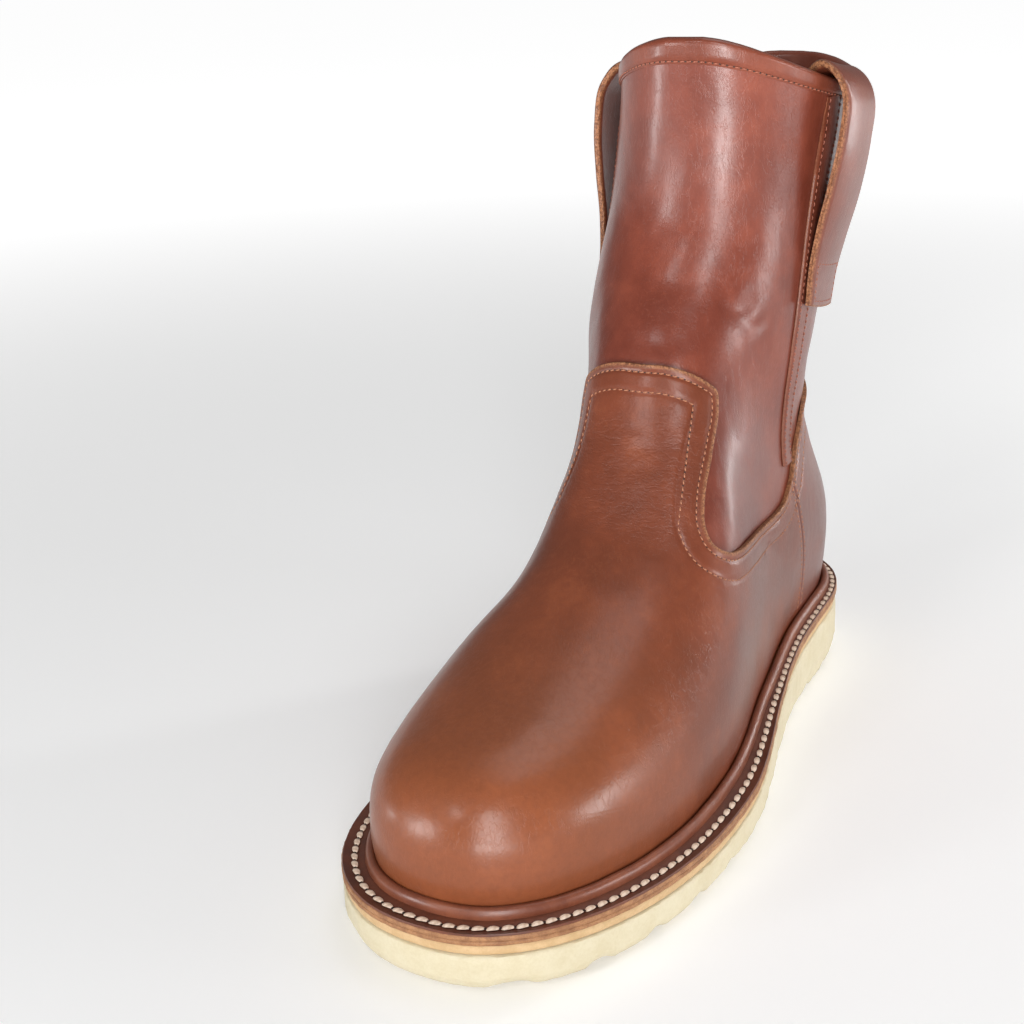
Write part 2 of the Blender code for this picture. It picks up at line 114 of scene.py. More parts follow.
def bisect(inside: Callable[[Array], Array], low: Array, high: Array, rounds: int = 24) -> Array:
    """The value between low and high where inside stops being true, by halving.

    Args:
        inside: Function of an array of trial values that says which are inside.
        low: Values that are inside.
        high: Values that are outside.
        rounds: Number of halvings.

    Returns:
        The crossing values.
    """
    for _ in range(rounds):
        mid = (low + high) / 2
        hit = inside(mid)
        low, high = np.where(hit, mid, low), np.where(hit, high, mid)
    return (low + high) / 2


def unit(vectors: Array) -> Array:
    """The vectors at length one."""
    return vectors / np.maximum(np.linalg.norm(vectors, axis=-1, keepdims=True), 1e-12)


def lengths(points: Array) -> Array:
    """Distance walked along a line of points, from 0."""
    return np.concatenate([[0.0], np.cumsum(np.linalg.norm(np.diff(points, axis=0), axis=-1))])


def respaced(points: Array, count: int) -> Array:
    """The same line with evenly spaced points.

    Args:
        points: The line (n, k).
        count: How many points it gets.

    Returns:
        The line (count, k).
    """
    walked = lengths(points)
    at = np.linspace(0, walked[-1], count)
    return np.stack([np.interp(at, walked, points[:, k]) for k in range(points.shape[1])], -1)


def wobble(points: Array, wave: float, seed: int) -> Array:
    """Soft unevenness between about -1 and 1: a sum of nine sine waves in fixed directions.

    Args:
        points: Places (..., 3).
        wave: Length of the longest wave, in metres.
        seed: Picks the directions.

    Returns:
        One value a place.
    """
    pick = np.random.default_rng(seed)
    total = np.zeros(points.shape[:-1])
    for k in range(9):
        way = unit(pick.normal(size=3))
        reach = wave / (1 + 0.45 * k)
        total += np.sin(points @ way * TURN / reach + pick.uniform(0, TURN)) / (1 + 0.35 * k)
    return total / 3.2


# The form


@dataclass(frozen=True)
class Last:
    """Form of the leather: a dome over the foot's plan in smooth union with a stack of ovals.

    The tables are the part's: places are shares of the foot's length, the collar's height or the loops'
    order, and values are shares of the size that each reader names.
    """

    foot_length: float = 0.2837
    ball_width: float = 0.1015
    instep_height: float = 0.1180
    heel_height: float = 0.0332
    collar_height: float = 0.2507
    collar_length: float = 0.1210
    heel_back: float = 0.0483
    wall: float = 0.0023
    overlay: float = 0.0016
    gap: float = 0.0003
    widest_above_welt: float = 0.013
    depth_below_widest: float = 0.046
    foot_power: float = 2.4
    leg_power: float = 2.15
    toe_power: float = 2.6
    heel_power: float = 2.2
    toe_round: float = 0.357
    heel_round: float = 0.042
    form_radius: float = 0.042
    blend: float = 0.026
    collar_dip: float = 0.0140
    front_rise: float = 0.0068
    axis_y: float = -0.030
    probe: float = 0.0004
    plan: Columns = Columns(
        at=(0.0, 0.22, 0.42, 0.60, 0.70, 0.80, 1.0),
        lateral=(0.338, 0.331, 0.409, 0.491, 0.492, 0.483, 0.460),
        medial=(0.330, 0.318, 0.349, 0.410, 0.480, 0.487, 0.487),
    )
    middle_line: Columns = Columns(at=(0.0, 0.35, 0.70, 1.0), x=(0.0, 0.0, -0.010, -0.049))
    ridge: Columns = Columns(
        at=(0.0, 0.30, 0.45, 0.60, 0.75, 0.86, 1.0),
        height=(0.800, 0.988, 1.269, 0.872, 0.680, 0.634, 0.700),
    )
    welt_line: Columns = Columns(at=(0.0, 0.12, 0.42, 0.68, 1.0), height=(1.0, 1.0, 0.824, 0.606, 0.690))
    leg: Columns = Columns(
        height=(0.120, 0.279, 0.439, 0.598, 0.818, 1.137),
        front=(0.371, 0.455, 0.569, 0.620, 0.498, 0.563),
        back=(0.248, 0.275, 0.232, 0.277, 0.330, 0.437),
        half_width=(0.182, 0.262, 0.291, 0.331, 0.336, 0.330),
        middle=(0.0, -0.004, -0.038, -0.041, 0.004, 0.072),
    )
    loops: Columns = Columns(
        loop=(0.0, 0.05, 0.12, 0.20, 0.30, 0.42, 0.55, 0.68, 0.82, 1.0),
        heel=(0.148, 0.187, 0.239, 0.295, 0.351, 0.415, 0.511, 0.658, 0.846, 1.0),
        tilt=(-0.040, -0.012, 0.008, 0.048, 0.168, 0.367, 0.479, 0.339, 0.140, 0.0),
    )

    def along(self, y: Array) -> Array:
        """Share of the foot's length from the heel."""
        return (self.heel_back - y) / self.foot_length

    def welt_top(self, y: Array) -> Array:
        """Height of the welt's upper face."""
        return self.welt_line.read("at", "height", self.along(y), self.heel_height)

    def middle(self, y: Array) -> Array:
        """x of the foot's middle line."""
        return self.middle_line.read("at", "x", self.along(y), self.ball_width)

    def foot_value(self, x: Array, y: Array, z: Array) -> Array:
        """The foot's dome: sum of powers of the shares of half width, height and toe or heel run, less one.

        Args:
            x: Places across.
            y: Places along.
            z: Heights.

        Returns:
            Values, negative inside.
        """
        a = self.along(y)
        dx = x - self.middle(y)
        half = np.where(
            dx > 0,
            self.plan.read("at", "lateral", a, self.ball_width),
            self.plan.read("at", "medial", a, self.ball_width),
        )
        widest = self.welt_top(y) + self.widest_above_welt
        top = self.ridge.read("at", "height", a, self.instep_height)
        high = np.where(z > widest, top - widest, self.depth_below_widest)
        toe = self.toe_round * self.foot_length
        ahead = np.clip((self.heel_back - self.foot_length + toe - y) / toe, 0, None)
        behind = np.clip((y - self.heel_back + self.heel_round) / self.heel_round, 0, None)
        total = (
            np.abs(dx / half) ** self.foot_power
            + np.abs((z - widest) / high) ** self.foot_power
            + ahead ** self.toe_power
            + behind ** self.heel_power
        )
        return (total ** (1 / self.foot_power) - 1) * self.form_radius + self.overlay + self.gap

    def leg_value(self, x: Array, y: Array, z: Array) -> Array:
        """The leg's ovals: sum of powers of the shares of the oval's two half axes, less one.

        Args:
            x: Places across.
            y: Places along.
            z: Heights.

        Returns:
            Values, negative inside.
        """
        h = z / self.collar_height
        front = self.leg.read("height", "front", h, self.collar_length)
        back = self.leg.read("height", "back", h, self.collar_length)
        half = self.leg.read("height", "half_width", h, self.collar_length)
        mid = self.leg.read("height", "middle", h, self.collar_length)
        total = (
            np.abs((x - mid) / half) ** self.leg_power
            + np.abs((y - (back - front) / 2) / ((front + back) / 2)) ** self.leg_power
        )
        return (total ** (1 / self.leg_power) - 1) * self.form_radius

    def value(self, x: Array, y: Array, z: Array) -> Array:
        """Smooth union of foot and leg: the lesser of the two, rounded where they are nearly equal.

        Args:
            x: Places across.
            y: Places along.
            z: Heights.

        Returns:
            Values, negative inside.
        """
        foot, leg = self.foot_value(x, y, z), self.leg_value(x, y, z)
        h = np.clip(0.5 + 0.5 * (leg - foot) / self.blend, 0, 1)
        return leg * (1 - h) + foot * h - self.blend * h * (1 - h)

    def normals(self, points: Array) -> Array:
        """Outward unit normals: the form's slope by central differences.

        Args:
            points: Places (..., 3).

        Returns:
            Unit vectors (..., 3).
        """
        step = self.probe
        x, y, z = np.moveaxis(points, -1, 0)
        slope = np.stack(
            [
                self.value(x + step, y, z) - self.value(x - step, y, z),
                self.value(x, y + step, z) - self.value(x, y - step, z),
                self.value(x, y, z + step) - self.value(x, y, z - step),
            ],
            -1,
        )
        return unit(slope)

    def settle(self, points: Array) -> Array:
        """Points near the form moved straight onto it: four steps of the value over the slope.

        Args:
            points: Places (..., 3).

        Returns:
            Places on the form (..., 3).
        """
        step = self.probe
        for _ in range(4):
            way = self.normals(points)
            here = self.value(*np.moveaxis(points, -1, 0))
            ahead = self.value(*np.moveaxis(points + way * step, -1, 0))
            points = points - way * (here * step / np.maximum(ahead - here, step * 0.2))[..., None]
        return points

    def level(self, v: Array, y: Array) -> Array:
        """Height of loop v at y: a tilted plane, bent to the welt below and to the collar above.

        Args:
            v: Loops, from 0 at the welt to 1 at the rim.
            y: Places along.

        Returns:
            Heights.
        """
        heel = self.loops.read("loop", "heel", v, self.collar_height)
        tilt = self.loops.read("loop", "tilt", v, self.collar_height)
        share = y / (self.heel_back - self.foot_length)
        first = self.loops.columns
        base = self.collar_height * (first["heel"][0] + first["tilt"][0] * share)
        low = (self.welt_top(y) - base) * np.clip(1 - v / 0.25, 0, 1) ** 2
        front = self.leg.columns["front"][-1] * self.collar_length
        back = self.leg.columns["back"][-1] * self.collar_length
        r = (y - (back - front) / 2) / ((front + back) / 2)
        top = self.collar_dip * (r ** 2 - 0.5) - self.front_rise * r
        return heel + tilt * share + low + top * np.clip((v - 0.68) / 0.32, 0, 1) ** 2

    def ends(self, v: Array) -> Tuple[Array, Array]:
        """y of the back and the front of each loop.

        Args:
            v: Loops.

        Returns:
            Back and front.
        """
        table = np.linspace(0, 1, 700)

        def inside(y: Array) -> Array:
            """Whether the loop's middle at y is in the form."""
            return self.value(self.middle(y), y, self.level(table, y)) < 0

        start = np.full_like(table, -0.015)
        back = bisect(inside, start, np.full_like(table, self.heel_back + 0.040))
        front = bisect(inside, start, np.full_like(table, self.heel_back - self.foot_length - 0.015))
        return np.interp(v, table, back), np.interp(v, table, front)

    def side_x(self, side: Array, y: Array, z: Array) -> Array:
        """x of the surface on one side.

        Args:
            side: +1 for the outer side, -1 for the inner one.
            y: Places along.
            z: Heights.

        Returns:
            Places across.
        """
        x0 = self.middle(y)
        most = np.full_like(y, 0.095)
        reach = bisect(lambda d: self.value(x0 + side * d, y, z) < 0, np.zeros_like(y), most)
        return x0 + side * reach

    def point(self, around: Array, v: Array) -> Array:
        """Surface point by its angle round the loop and its loop.

        The angle is 0 at the heel, half a turn at the toe, and passes the outer side first. y goes from
        the loop's back to its front with the angle's cosine, z is the loop's level there, and x is where
        the form ends on that side.

        Args:
            around: Angles in radians.
            v: Loops, from 0 at the welt to 1 at the rim.

        Returns:
            Points (..., 3).
        """
        around, v = np.broadcast_arrays(np.asarray(around, float), np.asarray(v, float))
        back, front = self.ends(v)
        y = back + (front - back) * (1 - np.cos(around)) / 2
        z = self.level(v, y)
        side = np.where(np.sin(around) >= 0, 1.0, -1.0)
        x = self.side_x(side, y, z)
        x = np.where(np.abs(np.sin(around)) < 1e-7, self.middle(y), x)
        return np.stack([x, y, z], -1)

    def locate(self, points: Array) -> Array:
        """Angle and loop of points that lie on the form: the reverse of point.

        Args:
            points: Points (..., 3).

        Returns:
            Angles and loops (..., 2).
        """
        x, y, z = np.moveaxis(points, -1, 0)
        v = bisect(lambda t: self.level(t, y) < z, np.zeros_like(y), np.ones_like(y), 30)
        back, front = self.ends(v)
        angle = np.arccos(np.clip(1 - 2 * (y - back) / (front - back), -1, 1))
        return np.stack([np.where(x >= self.middle(y), angle, TURN - angle), v], -1)

    def on_leather(self, degrees: Array, height: Array) -> Array:
        """Point of the form on a ray from the upright axis, by its angle from the front and its height.

        Args:
            degrees: Angle round the axis, outer side positive.
            height: Height as a share of the collar's.

        Returns:
            Points (..., 3).
        """
        angle, z = np.broadcast_arrays(np.radians(degrees), np.asarray(height, float) * self.collar_height)
        dx, dy = np.sin(angle), -np.cos(angle)
        reach = bisect(
            lambda r: self.value(dx * r, self.axis_y + dy * r, z) < 0, np.zeros_like(z), np.full_like(z, 0.24)
        )
        return np.stack([dx * reach, self.axis_y + dy * reach, z], -1)

    def feather(self, count: int) -> Array:
        """The loop where the leather meets the welt, evenly spaced from the heel over the outer side."""
        fine = self.point(np.linspace(0, TURN, 1441), np.zeros(1441))
        return respaced(fine, count + 1)[:-1]

    def even_angles(self, count: int) -> Array:
        """Angles that space the feather line evenly.

        Args:
            count: How many.

        Returns:
            Angles from 0 up to a turn.
        """
        angle = np.linspace(0, TURN, 1441)
        walked = lengths(self.point(angle, np.zeros(1441)))
        return np.interp(np.linspace(0, walked[-1], count, endpoint=False), walked, angle)


LAST = Last()


@dataclass(frozen=True)
class Crease:
    """A soft trough in the leather along a line given by angles and heights on the chart."""

    degrees: Tuple[float, ...]
    heights: Tuple[float, ...]
    depth: float = 0.0006
    width: float = 0.0022

    def line(self) -> Array:
        """Points of the trough's middle on the form.

        Returns:
            Points (n, 3).
        """
        t = np.linspace(0, 1, 14)
        at = np.linspace(0, 1, len(self.degrees))
        return LAST.on_leather(smooth(t, at, self.degrees), smooth(t, at, self.heights))

    def sink(self, points: Array) -> Array:
        """How far the leather sinks at points: a bell over the distance, with a low lip beside it.

        Args:
            points: Places (..., 3).

        Returns:
            Depths, negative on the lip.
        """
        line = self.line()
        near = np.full(points.shape[:-1], np.inf)
        place = np.zeros(points.shape[:-1])
        for k, (a, b) in enumerate(zip(line[:-1], line[1:])):
            way = b - a
            t = np.clip(((points - a) @ way) / (way @ way), 0, 1)
            gap = np.linalg.norm(points - a - t[..., None] * way, axis=-1)
            place = np.where(gap < near, (k + t) / (len(line) - 1), place)
            near = np.minimum(near, gap)
        fade = np.sin(math.pi * np.clip(place, 0.02, 0.98)) ** 0.7
        r = near / self.width
        return fade * self.depth * (np.exp(-r * r) - 0.35 * np.exp(-((r - 2.1) ** 2)))


CREASES = (
    Crease((-14, 2, 16), (0.652, 0.645, 0.655), 0.00035, 0.0034),
    Crease((30, 42, 55), (0.700, 0.684, 0.695), 0.00035, 0.0030),
    Crease((40, 52, 63), (0.667, 0.655, 0.668), 0.00025, 0.0026),
    Crease((-20, 0, 22), (0.735, 0.722, 0.728), 0.0003, 0.0044),
    Crease((5, 24, 40), (0.800, 0.790, 0.800), 0.0003, 0.0044),
    Crease((-12, 0, 12), (0.545, 0.538, 0.545), 0.00008, 0.0022),
    Crease((-15, 0, 15), (0.520, 0.512, 0.519), 0.00008, 0.0022),
    Crease((-10, 3, 13), (0.493, 0.488, 0.495), 0.00008, 0.0022),
    Crease((45, 58, 70), (0.340, 0.318, 0.305), 0.0005, 0.0030),
    Crease((-72, -58, -45), (0.305, 0.318, 0.340), 0.0005, 0.0030),
    Crease((120, 150, 180, 210, 240), (0.475, 0.455, 0.450, 0.455, 0.475), 0.0008, 0.0045),
    Crease((128, 155, 180, 205, 232), (0.560, 0.548, 0.545, 0.548, 0.560), 0.0007, 0.0050),
)


def relief(points: Array) -> Array:
    """How far the leather stands off its form: broad unevenness of the hide less the creases.

    Args:
        points: Places (..., 3).

    Returns:
        Heights.
    """
    rise = 0.00028 * wobble(points, 0.075, 11) + 0.00009 * wobble(points, 0.024, 12)
    for crease in CREASES:
        rise = rise - crease.sink(points)
    return rise


def skin(around: Array, v: Array, off: Union[float, Array]) -> Tuple[Array, Array]:
    """Points of the worn leather, pushed off the form, with the form's normals.

    Args:
        around: Angles round the loops.
        v: Loops.
        off: Distance off the form.

    Returns:
        Points and unit normals, both (..., 3).
    """
    bare = LAST.point(around, v)
    normal = LAST.normals(bare)
    return bare + normal * (off + relief(bare))[..., None], normal


# Meshes


def add_mesh(
    name: str, points: Array, quads: Array, extra: Optional[Dict[str, Array]] = None, bend: float = 50.0
) -> bpy.types.Object:
    """A new object from points and faces, shaded smooth but for edges that bend more than an angle.

    Args:
        name: The object's name.
        points: Its points (n, 3).
        quads: Its faces (m, 4) or (m, 3), turned outwards.
        extra: Values a point, kept as attributes that the materials read.
        bend: Angle in degrees past which an edge stays sharp.

    Returns:
        The object, at the origin.
    """
    mesh = bpy.data.meshes.new(name)
    mesh.from_pydata(points.tolist(), [], quads.tolist())
    for key, values in (extra or {}).items():
        layer = mesh.attributes.new(key, "FLOAT", "POINT")
        layer.data.foreach_set("value", np.asarray(values, np.float32).ravel())
    mesh.validate()
    tri = mesh_triangles(mesh)
    corners = points[tri]
    if np.einsum("ij,ij->i", corners[:, 0], np.cross(corners[:, 1], corners[:, 2])).sum() < 0:
        mesh.flip_normals()
    mesh.polygons.foreach_set("use_smooth", np.ones(len(mesh.polygons), bool))
    mesh.set_sharp_from_angle(angle=math.radians(bend))
    obj = bpy.data.objects.new(name, mesh)
    bpy.context.scene.collection.objects.link(obj)
    return obj


def mesh_triangles(mesh: bpy.types.Mesh) -> Array:
    """The mesh's triangles.

    Args:
        mesh: The mesh.

    Returns:
        Corner numbers (n, 3).
    """
    mesh.calc_loop_triangles()
    tri = np.empty(len(mesh.loop_triangles) * 3, np.int32)
    mesh.loop_triangles.foreach_get("vertices", tri)
    return tri.reshape(-1, 3)


def grid_quads(rows: int, columns: int, wrap_rows: bool = False, wrap_columns: bool = False) -> Array:
    """Faces of a grid whose points are counted row by row.

    Args:
        rows: Number of rows.
        columns: Number of columns.
        wrap_rows: Whether the last row joins the first.
        wrap_columns: Whether the last column joins the first.

    Returns:
        Faces (n, 4).
    """
    j = np.arange(rows if wrap_rows else rows - 1)[:, None]
    i = np.arange(columns if wrap_columns else columns - 1)[None, :]
    k, e = (j + 1) % rows, (i + 1) % columns
    quads = np.stack([j * columns + i, j * columns + e, k * columns + e, k * columns + i], -1)
    return quads.reshape(-1, 4)


def ring_piece(
    name: str, rings: Array, extra: Optional[Dict[str, Array]] = None, bend: float = 50.0
) -> bpy.types.Object:
    """A solid whose closed cross-section (rows) goes all the way round (columns)."""
    k, n = rings.shape[:2]
    return add_mesh(name, rings.reshape(-1, 3), grid_quads(k, n, True, True), extra, bend)


def strip_piece(
    name: str, rings: Array, extra: Optional[Dict[str, Array]] = None, bend: float = 50.0
) -> bpy.types.Object:
    """A solid whose closed cross-section (columns) is carried along a path (rows), capped at both ends.

    Args:
        name: The object's name.
        rings: Cross-sections (rows, columns, 3).
        extra: Values a point (rows, columns).
        bend: Angle in degrees past which an edge stays sharp.

    Returns:
        The object.
    """
    k, n = rings.shape[:2]
    points = np.concatenate([rings.reshape(-1, 3), rings[:1].mean(1), rings[-1:].mean(1)])
    i = np.arange(n)
    e = (i + 1) % n
    start = np.stack([np.full(n, k * n), e, i], -1)
    end = np.stack([np.full(n, k * n + 1), (k - 1) * n + i, (k - 1) * n + e], -1)
    faces = grid_quads(k, n, False, True).tolist() + start.tolist() + end.tolist()
    values = {}
    for key, value in (extra or {}).items():
        values[key] = np.concatenate([value.ravel(), value[:1].mean(1), value[-1:].mean(1)])
    return add_mesh(name, points, FaceList(faces), values, bend)


class FaceList:
    """Faces of mixed length, given to the mesh as they are."""

    def __init__(self, faces: List[List[int]]) -> None:
        """Keeps the faces."""
        self.faces = faces

    def tolist(self) -> List[List[int]]:
        """The faces."""
        return self.faces


def plan_offset(loop: Array, distance: Union[float, Array]) -> Array:
    """A closed loop moved outwards in plan, square to its own direction.

    Args:
        loop: The loop (n, 3).
        distance: How far, for all or for each point.

    Returns:
        The moved loop (n, 3).
    """
    tangent = np.roll(loop, -1, 0) - np.roll(loop, 1, 0)
    normal = unit(np.stack([-tangent[:, 1], tangent[:, 0]], -1))
    ahead = np.roll(loop, -1, 0)
    if np.sum(loop[:, 0] * ahead[:, 1] - ahead[:, 0] * loop[:, 1]) > 0:
        normal = -normal
    out = loop.copy()
    out[:, :2] += normal * np.reshape(distance, (-1, 1))
    return out


def at_height(loop: Array, z: Array) -> Array:
    """The loop with its heights replaced."""
    return np.stack([loop[:, 0], loop[:, 1], np.broadcast_to(z, loop[:, 0].shape)], -1)


# Shader nodes

Number = Union[float, "Signal"]


class Signal:
    """A value in a material's nodes. Sums, products and so on with numbers or values add Math nodes."""

    def __init__(self, finish: "Tree", socket: bpy.types.NodeSocket) -> None:
        """Keeps the tree that the value lives in, and its socket."""
        self.finish = finish
        self.socket = socket

    def _math(self, operation: str, *values: Number) -> "Signal":
        """One Math node."""
        return self.finish.node("ShaderNodeMath", {"operation": operation}, dict(enumerate(values)))

    def __add__(self, other: Number) -> "Signal":
        """Sum."""
        return self._math("ADD", self, other)

    __radd__ = __add__

    def __sub__(self, other: Number) -> "Signal":
        """Difference."""
        return self._math("SUBTRACT", self, other)

    def __rsub__(self, other: Number) -> "Signal":
        """Difference the other way round."""
        return self._math("SUBTRACT", other, self)

    def __mul__(self, other: Number) -> "Signal":
        """Product."""
        return self._math("MULTIPLY", self, other)

    __rmul__ = __mul__

    def size(self) -> "Signal":
        """The value without its sign."""
        return self._math("ABSOLUTE", self)

    def least(self, other: Number) -> "Signal":
        """The smaller of the two."""
        return self._math("MINIMUM", self, other)

    def step(self, low: float, high: float) -> "Signal":
        """Soft step from 0 at low to 1 at high."""
        inputs = {"Value": self, "From Min": low, "From Max": high}
        return self.finish.node("ShaderNodeMapRange", {"interpolation_type": "SMOOTHSTEP"}, inputs)


Colour = Tuple[float, float, float]
Source = Union[Number, Colour, "Signal"]


class Tree:
    """One material and its nodes."""

    def __init__(self, name: str) -> None:
        """Makes the material with a shader and nothing else.

        Args:
            name: The material's name.
        """
        self.material = bpy.data.materials.new(name)
        self.material.use_nodes = True
        self.nodes = self.material.node_tree.nodes
        self.links = self.material.node_tree.links
        self.nodes.clear()
        self.shader = self.nodes.new("ShaderNodeBsdfPrincipled")
        out = self.nodes.new("ShaderNodeOutputMaterial")
        self.links.new(self.shader.outputs["BSDF"], out.inputs["Surface"])

    def node(
        self, kind: str, settings: Dict[str, str], inputs: Dict[Union[int, str], Source],
        output: Union[int, str] = 0,
    ) -> Signal:
        """Adds a node.

        Args:
            kind: The node's type.
            settings: Its own settings, set first.
            inputs: Values or signals by socket name or number.
            output: The socket that is handed back.

        Returns:
            That output.
        """
        made = self.nodes.new(kind)
        for key, value in settings.items():
            setattr(made, key, value)
        for key, value in inputs.items():
            self.feed(made.inputs[key], value)
        return Signal(self, made.outputs[output])

    def feed(self, socket: bpy.types.NodeSocket, value: Source) -> None:
        """Links a signal to a socket, or sets a number or colour on it.

        Args:
            socket: The socket.
            value: What goes in.
        """
        if isinstance(value, Signal):
            self.links.new(value.socket, socket)
        elif isinstance(value, tuple) and socket.type == "RGBA":
            socket.default_value = (*value, 1.0)
        else:
            socket.default_value = value

    def place(self) -> Signal:
        """Object coordinates, in metres."""
        return self.node("ShaderNodeTexCoord", {}, {}, "Object")

    def attribute(self, name: str) -> Signal:
        """A value that the mesh carries at its points."""
        return self.node("ShaderNodeAttribute", {"attribute_name": name}, {}, "Fac")

    def axes(self, vector: Signal) -> Tuple[Signal, Signal, Signal]:
        """x, y and z of a vector.

        Args:
            vector: The vector.

        Returns:
            Its three numbers.
        """
        first = self.node("ShaderNodeSeparateXYZ", {}, {0: vector}, 0)
        outputs = first.socket.node.outputs
        return first, Signal(self, outputs[1]), Signal(self, outputs[2])

    def stretched(self, vector: Signal, factors: Colour) -> Signal:
        """A vector with each axis times a factor."""
        return self.node("ShaderNodeVectorMath", {"operation": "MULTIPLY"}, {0: vector, 1: factors})

    def noise(self, vector: Signal, size: float, detail: float = 3.0, rough: float = 0.5) -> Signal:
        """Cloudy values round 0.5 whose lumps are about a size in metres."""
        inputs = {"Vector": vector, "Scale": 1.0 / size, "Detail": detail, "Roughness": rough}
        return self.node("ShaderNodeTexNoise", {}, inputs, 0)

    def cells(self, vector: Signal, size: float) -> Signal:
        """Distance in a cell pattern whose cells are about a size in metres."""
        inputs = {"Vector": vector, "Scale": 1.0 / size}
        return self.node("ShaderNodeTexVoronoi", {"feature": "F1"}, inputs, 0)

    def mix(self, factor: Number, first: Source, second: Source) -> Signal:
        """Mix of two colours."""
        return self.node("ShaderNodeMix", {"data_type": "RGBA"}, {0: factor, 6: first, 7: second}, 2)

    def lines(self, vector: Signal, size: float, width: float) -> Signal:
        """0 on fine winding lines and 1 between them: where cloudy values cross their middle."""
        return (self.noise(vector, size, 4.0, 0.62) - 0.5).size().step(0.0, width)

    def bump(self, height: Signal, depth: float, strength: float, under: Optional[Signal] = None) -> Signal:
        """A normal from a height field.

        Args:
            height: Values between 0 and 1.
            depth: What one stands for, in metres.
            strength: Share of the effect.
            under: A normal that it is laid on.

        Returns:
            The normal.
        """
        inputs: Dict[Union[int, str], Source] = {"Height": height, "Distance": depth, "Strength": strength}
        if under is not None:
            inputs["Normal"] = under
        return self.node("ShaderNodeBump", {}, inputs)

    def finish(self, **sockets: Source) -> bpy.types.Material:
        """Sets the shader's sockets.

        Args:
            **sockets: Values by the sockets' names, with _ for spaces.

        Returns:
            The material.
        """
        for name, value in sockets.items():
            self.feed(self.shader.inputs[name.replace("_", " ")], value)
        return self.material


# Finishes


class Place(Enum):
    """Where a piece of leather sits, which sets how it has worn."""

    FOOT = "foot"
    SHAFT = "shaft"
    TRIM = "trim"


@dataclass(frozen=True)
class Leather:
    """Smooth oiled leather: clouded reddish brown, paler where pulled, with grain, wrinkles and scuffs.

    Sizes of the patterns are in metres: clouds, blotches, fine specks, cracks, dents and the raw edge's fuzz.
    """

    name: str
    place: Place
    dark: Colour = (0.120, 0.030, 0.014)
    brown: Colour = (0.176, 0.042, 0.018)
    pulled: Colour = (0.300, 0.090, 0.032)
    raw: Colour = (0.330, 0.140, 0.062)
    raw_dark: Colour = (0.130, 0.045, 0.020)
    grain: float = 0.0011
    gloss: float = 0.27
    coat: float = 0.16
    coat_rough: float = 0.20
    shine: float = 0.32
    clouds: float = 0.045
    blotches: float = 0.012
    specks: float = 0.0022
    crack: float = 0.0036
    crack_width: float = 0.030
    scuffs: float = 0.020
    dents: float = 0.016
    fuzz: float = 0.0009
    toe_from: float = 0.105
    toe_to: float = 0.225
    plug_low: Tuple[float, float] = (0.096, 0.112)
    plug_high: Tuple[float, float] = (0.132, 0.146)
    plug_front: float = 0.045

    def material(self) -> bpy.types.Material:
        """Builds the material.

        Clouds and blotches choose between dark and brown. The toe and the tops of the blotches go paler,
        and so do scuffs along the cracks. The raw edge has its own two colours.

        Returns:
            The material.
        """
        tree = Tree(self.name)
        where = tree.place()
        _, y, z = tree.axes(where)
        cloud = tree.noise(where, self.clouds, 4.0, 0.6)
        blotch = tree.noise(where, self.blotches, 5.0, 0.65)
        fine = tree.noise(where, self.specks, 3.0, 0.6)
        base = tree.mix((cloud * 0.7 + blotch * 0.3).step(0.36, 0.64), self.dark, self.brown)
        tops = (cloud * 0.45 + blotch * 0.55).step(0.50, 0.72)
        if self.place is Place.FOOT:
            warm = (y * -1.0).step(self.toe_from, self.toe_to) * 0.55 + tops * 0.25
        else:
            warm = tops * 0.30
        base = tree.mix(warm.least(1.0), base, self.pulled)
        upright = tree.stretched(where, (1.0, 1.0, 0.35))
        cracks = tree.lines(upright, self.crack, self.crack_width)
        worn = tree.noise(where, self.scuffs, 3.0, 0.6).step(0.46, 0.66)
        base = tree.mix((1.0 - cracks) * worn * 0.16, base, self.pulled)
        base = tree.mix(fine.step(0.35, 0.75) * 0.20, base, self.dark)
        rough = cloud * 0.16 + blotch * 0.12 + fine * 0.08 + (self.gloss - 0.12)
        if self.place is not Place.SHAFT:
            edge = tree.attribute("edge")
            fuzz = tree.noise(where, self.fuzz, 3.0, 0.7)
            base = tree.mix(edge, base, tree.mix(fuzz.step(0.38, 0.62), self.raw_dark, self.raw))
            rough = rough + edge * 0.4
        cells = tree.cells(where, self.grain)
        normal = tree.bump(cells.step(0.0, 0.9) * 0.6 + fine * 0.4, 0.00006, 0.40)
        normal = tree.bump(cracks, 0.00007, 0.35, normal)
        if self.place is Place.FOOT:
            plug = z.step(*self.plug_low) * (1.0 - z.step(*self.plug_high))
            plug = plug * (-self.plug_front - y).step(0.0, 0.010)
            crepe = tree.lines(tree.stretched(where, (0.55, 1.0, 1.5)), 0.0038, 0.10)
            normal = tree.bump(crepe * plug, 0.00014, 0.42, normal)
            normal = tree.bump(fuzz * edge, 0.00035, 0.6, normal)
        elif self.place is Place.TRIM:
            normal = tree.bump(fuzz * edge, 0.00040, 0.8, normal)
        normal = tree.bump(tree.noise(where, self.dents, 2.0), 0.0009, 0.14, normal)
        return tree.finish(
            Base_Color=base, Roughness=rough, Normal=normal, Coat_Weight=self.coat,
            Coat_Roughness=self.coat_rough, IOR=1.5, Specular_IOR_Level=self.shine,
        )


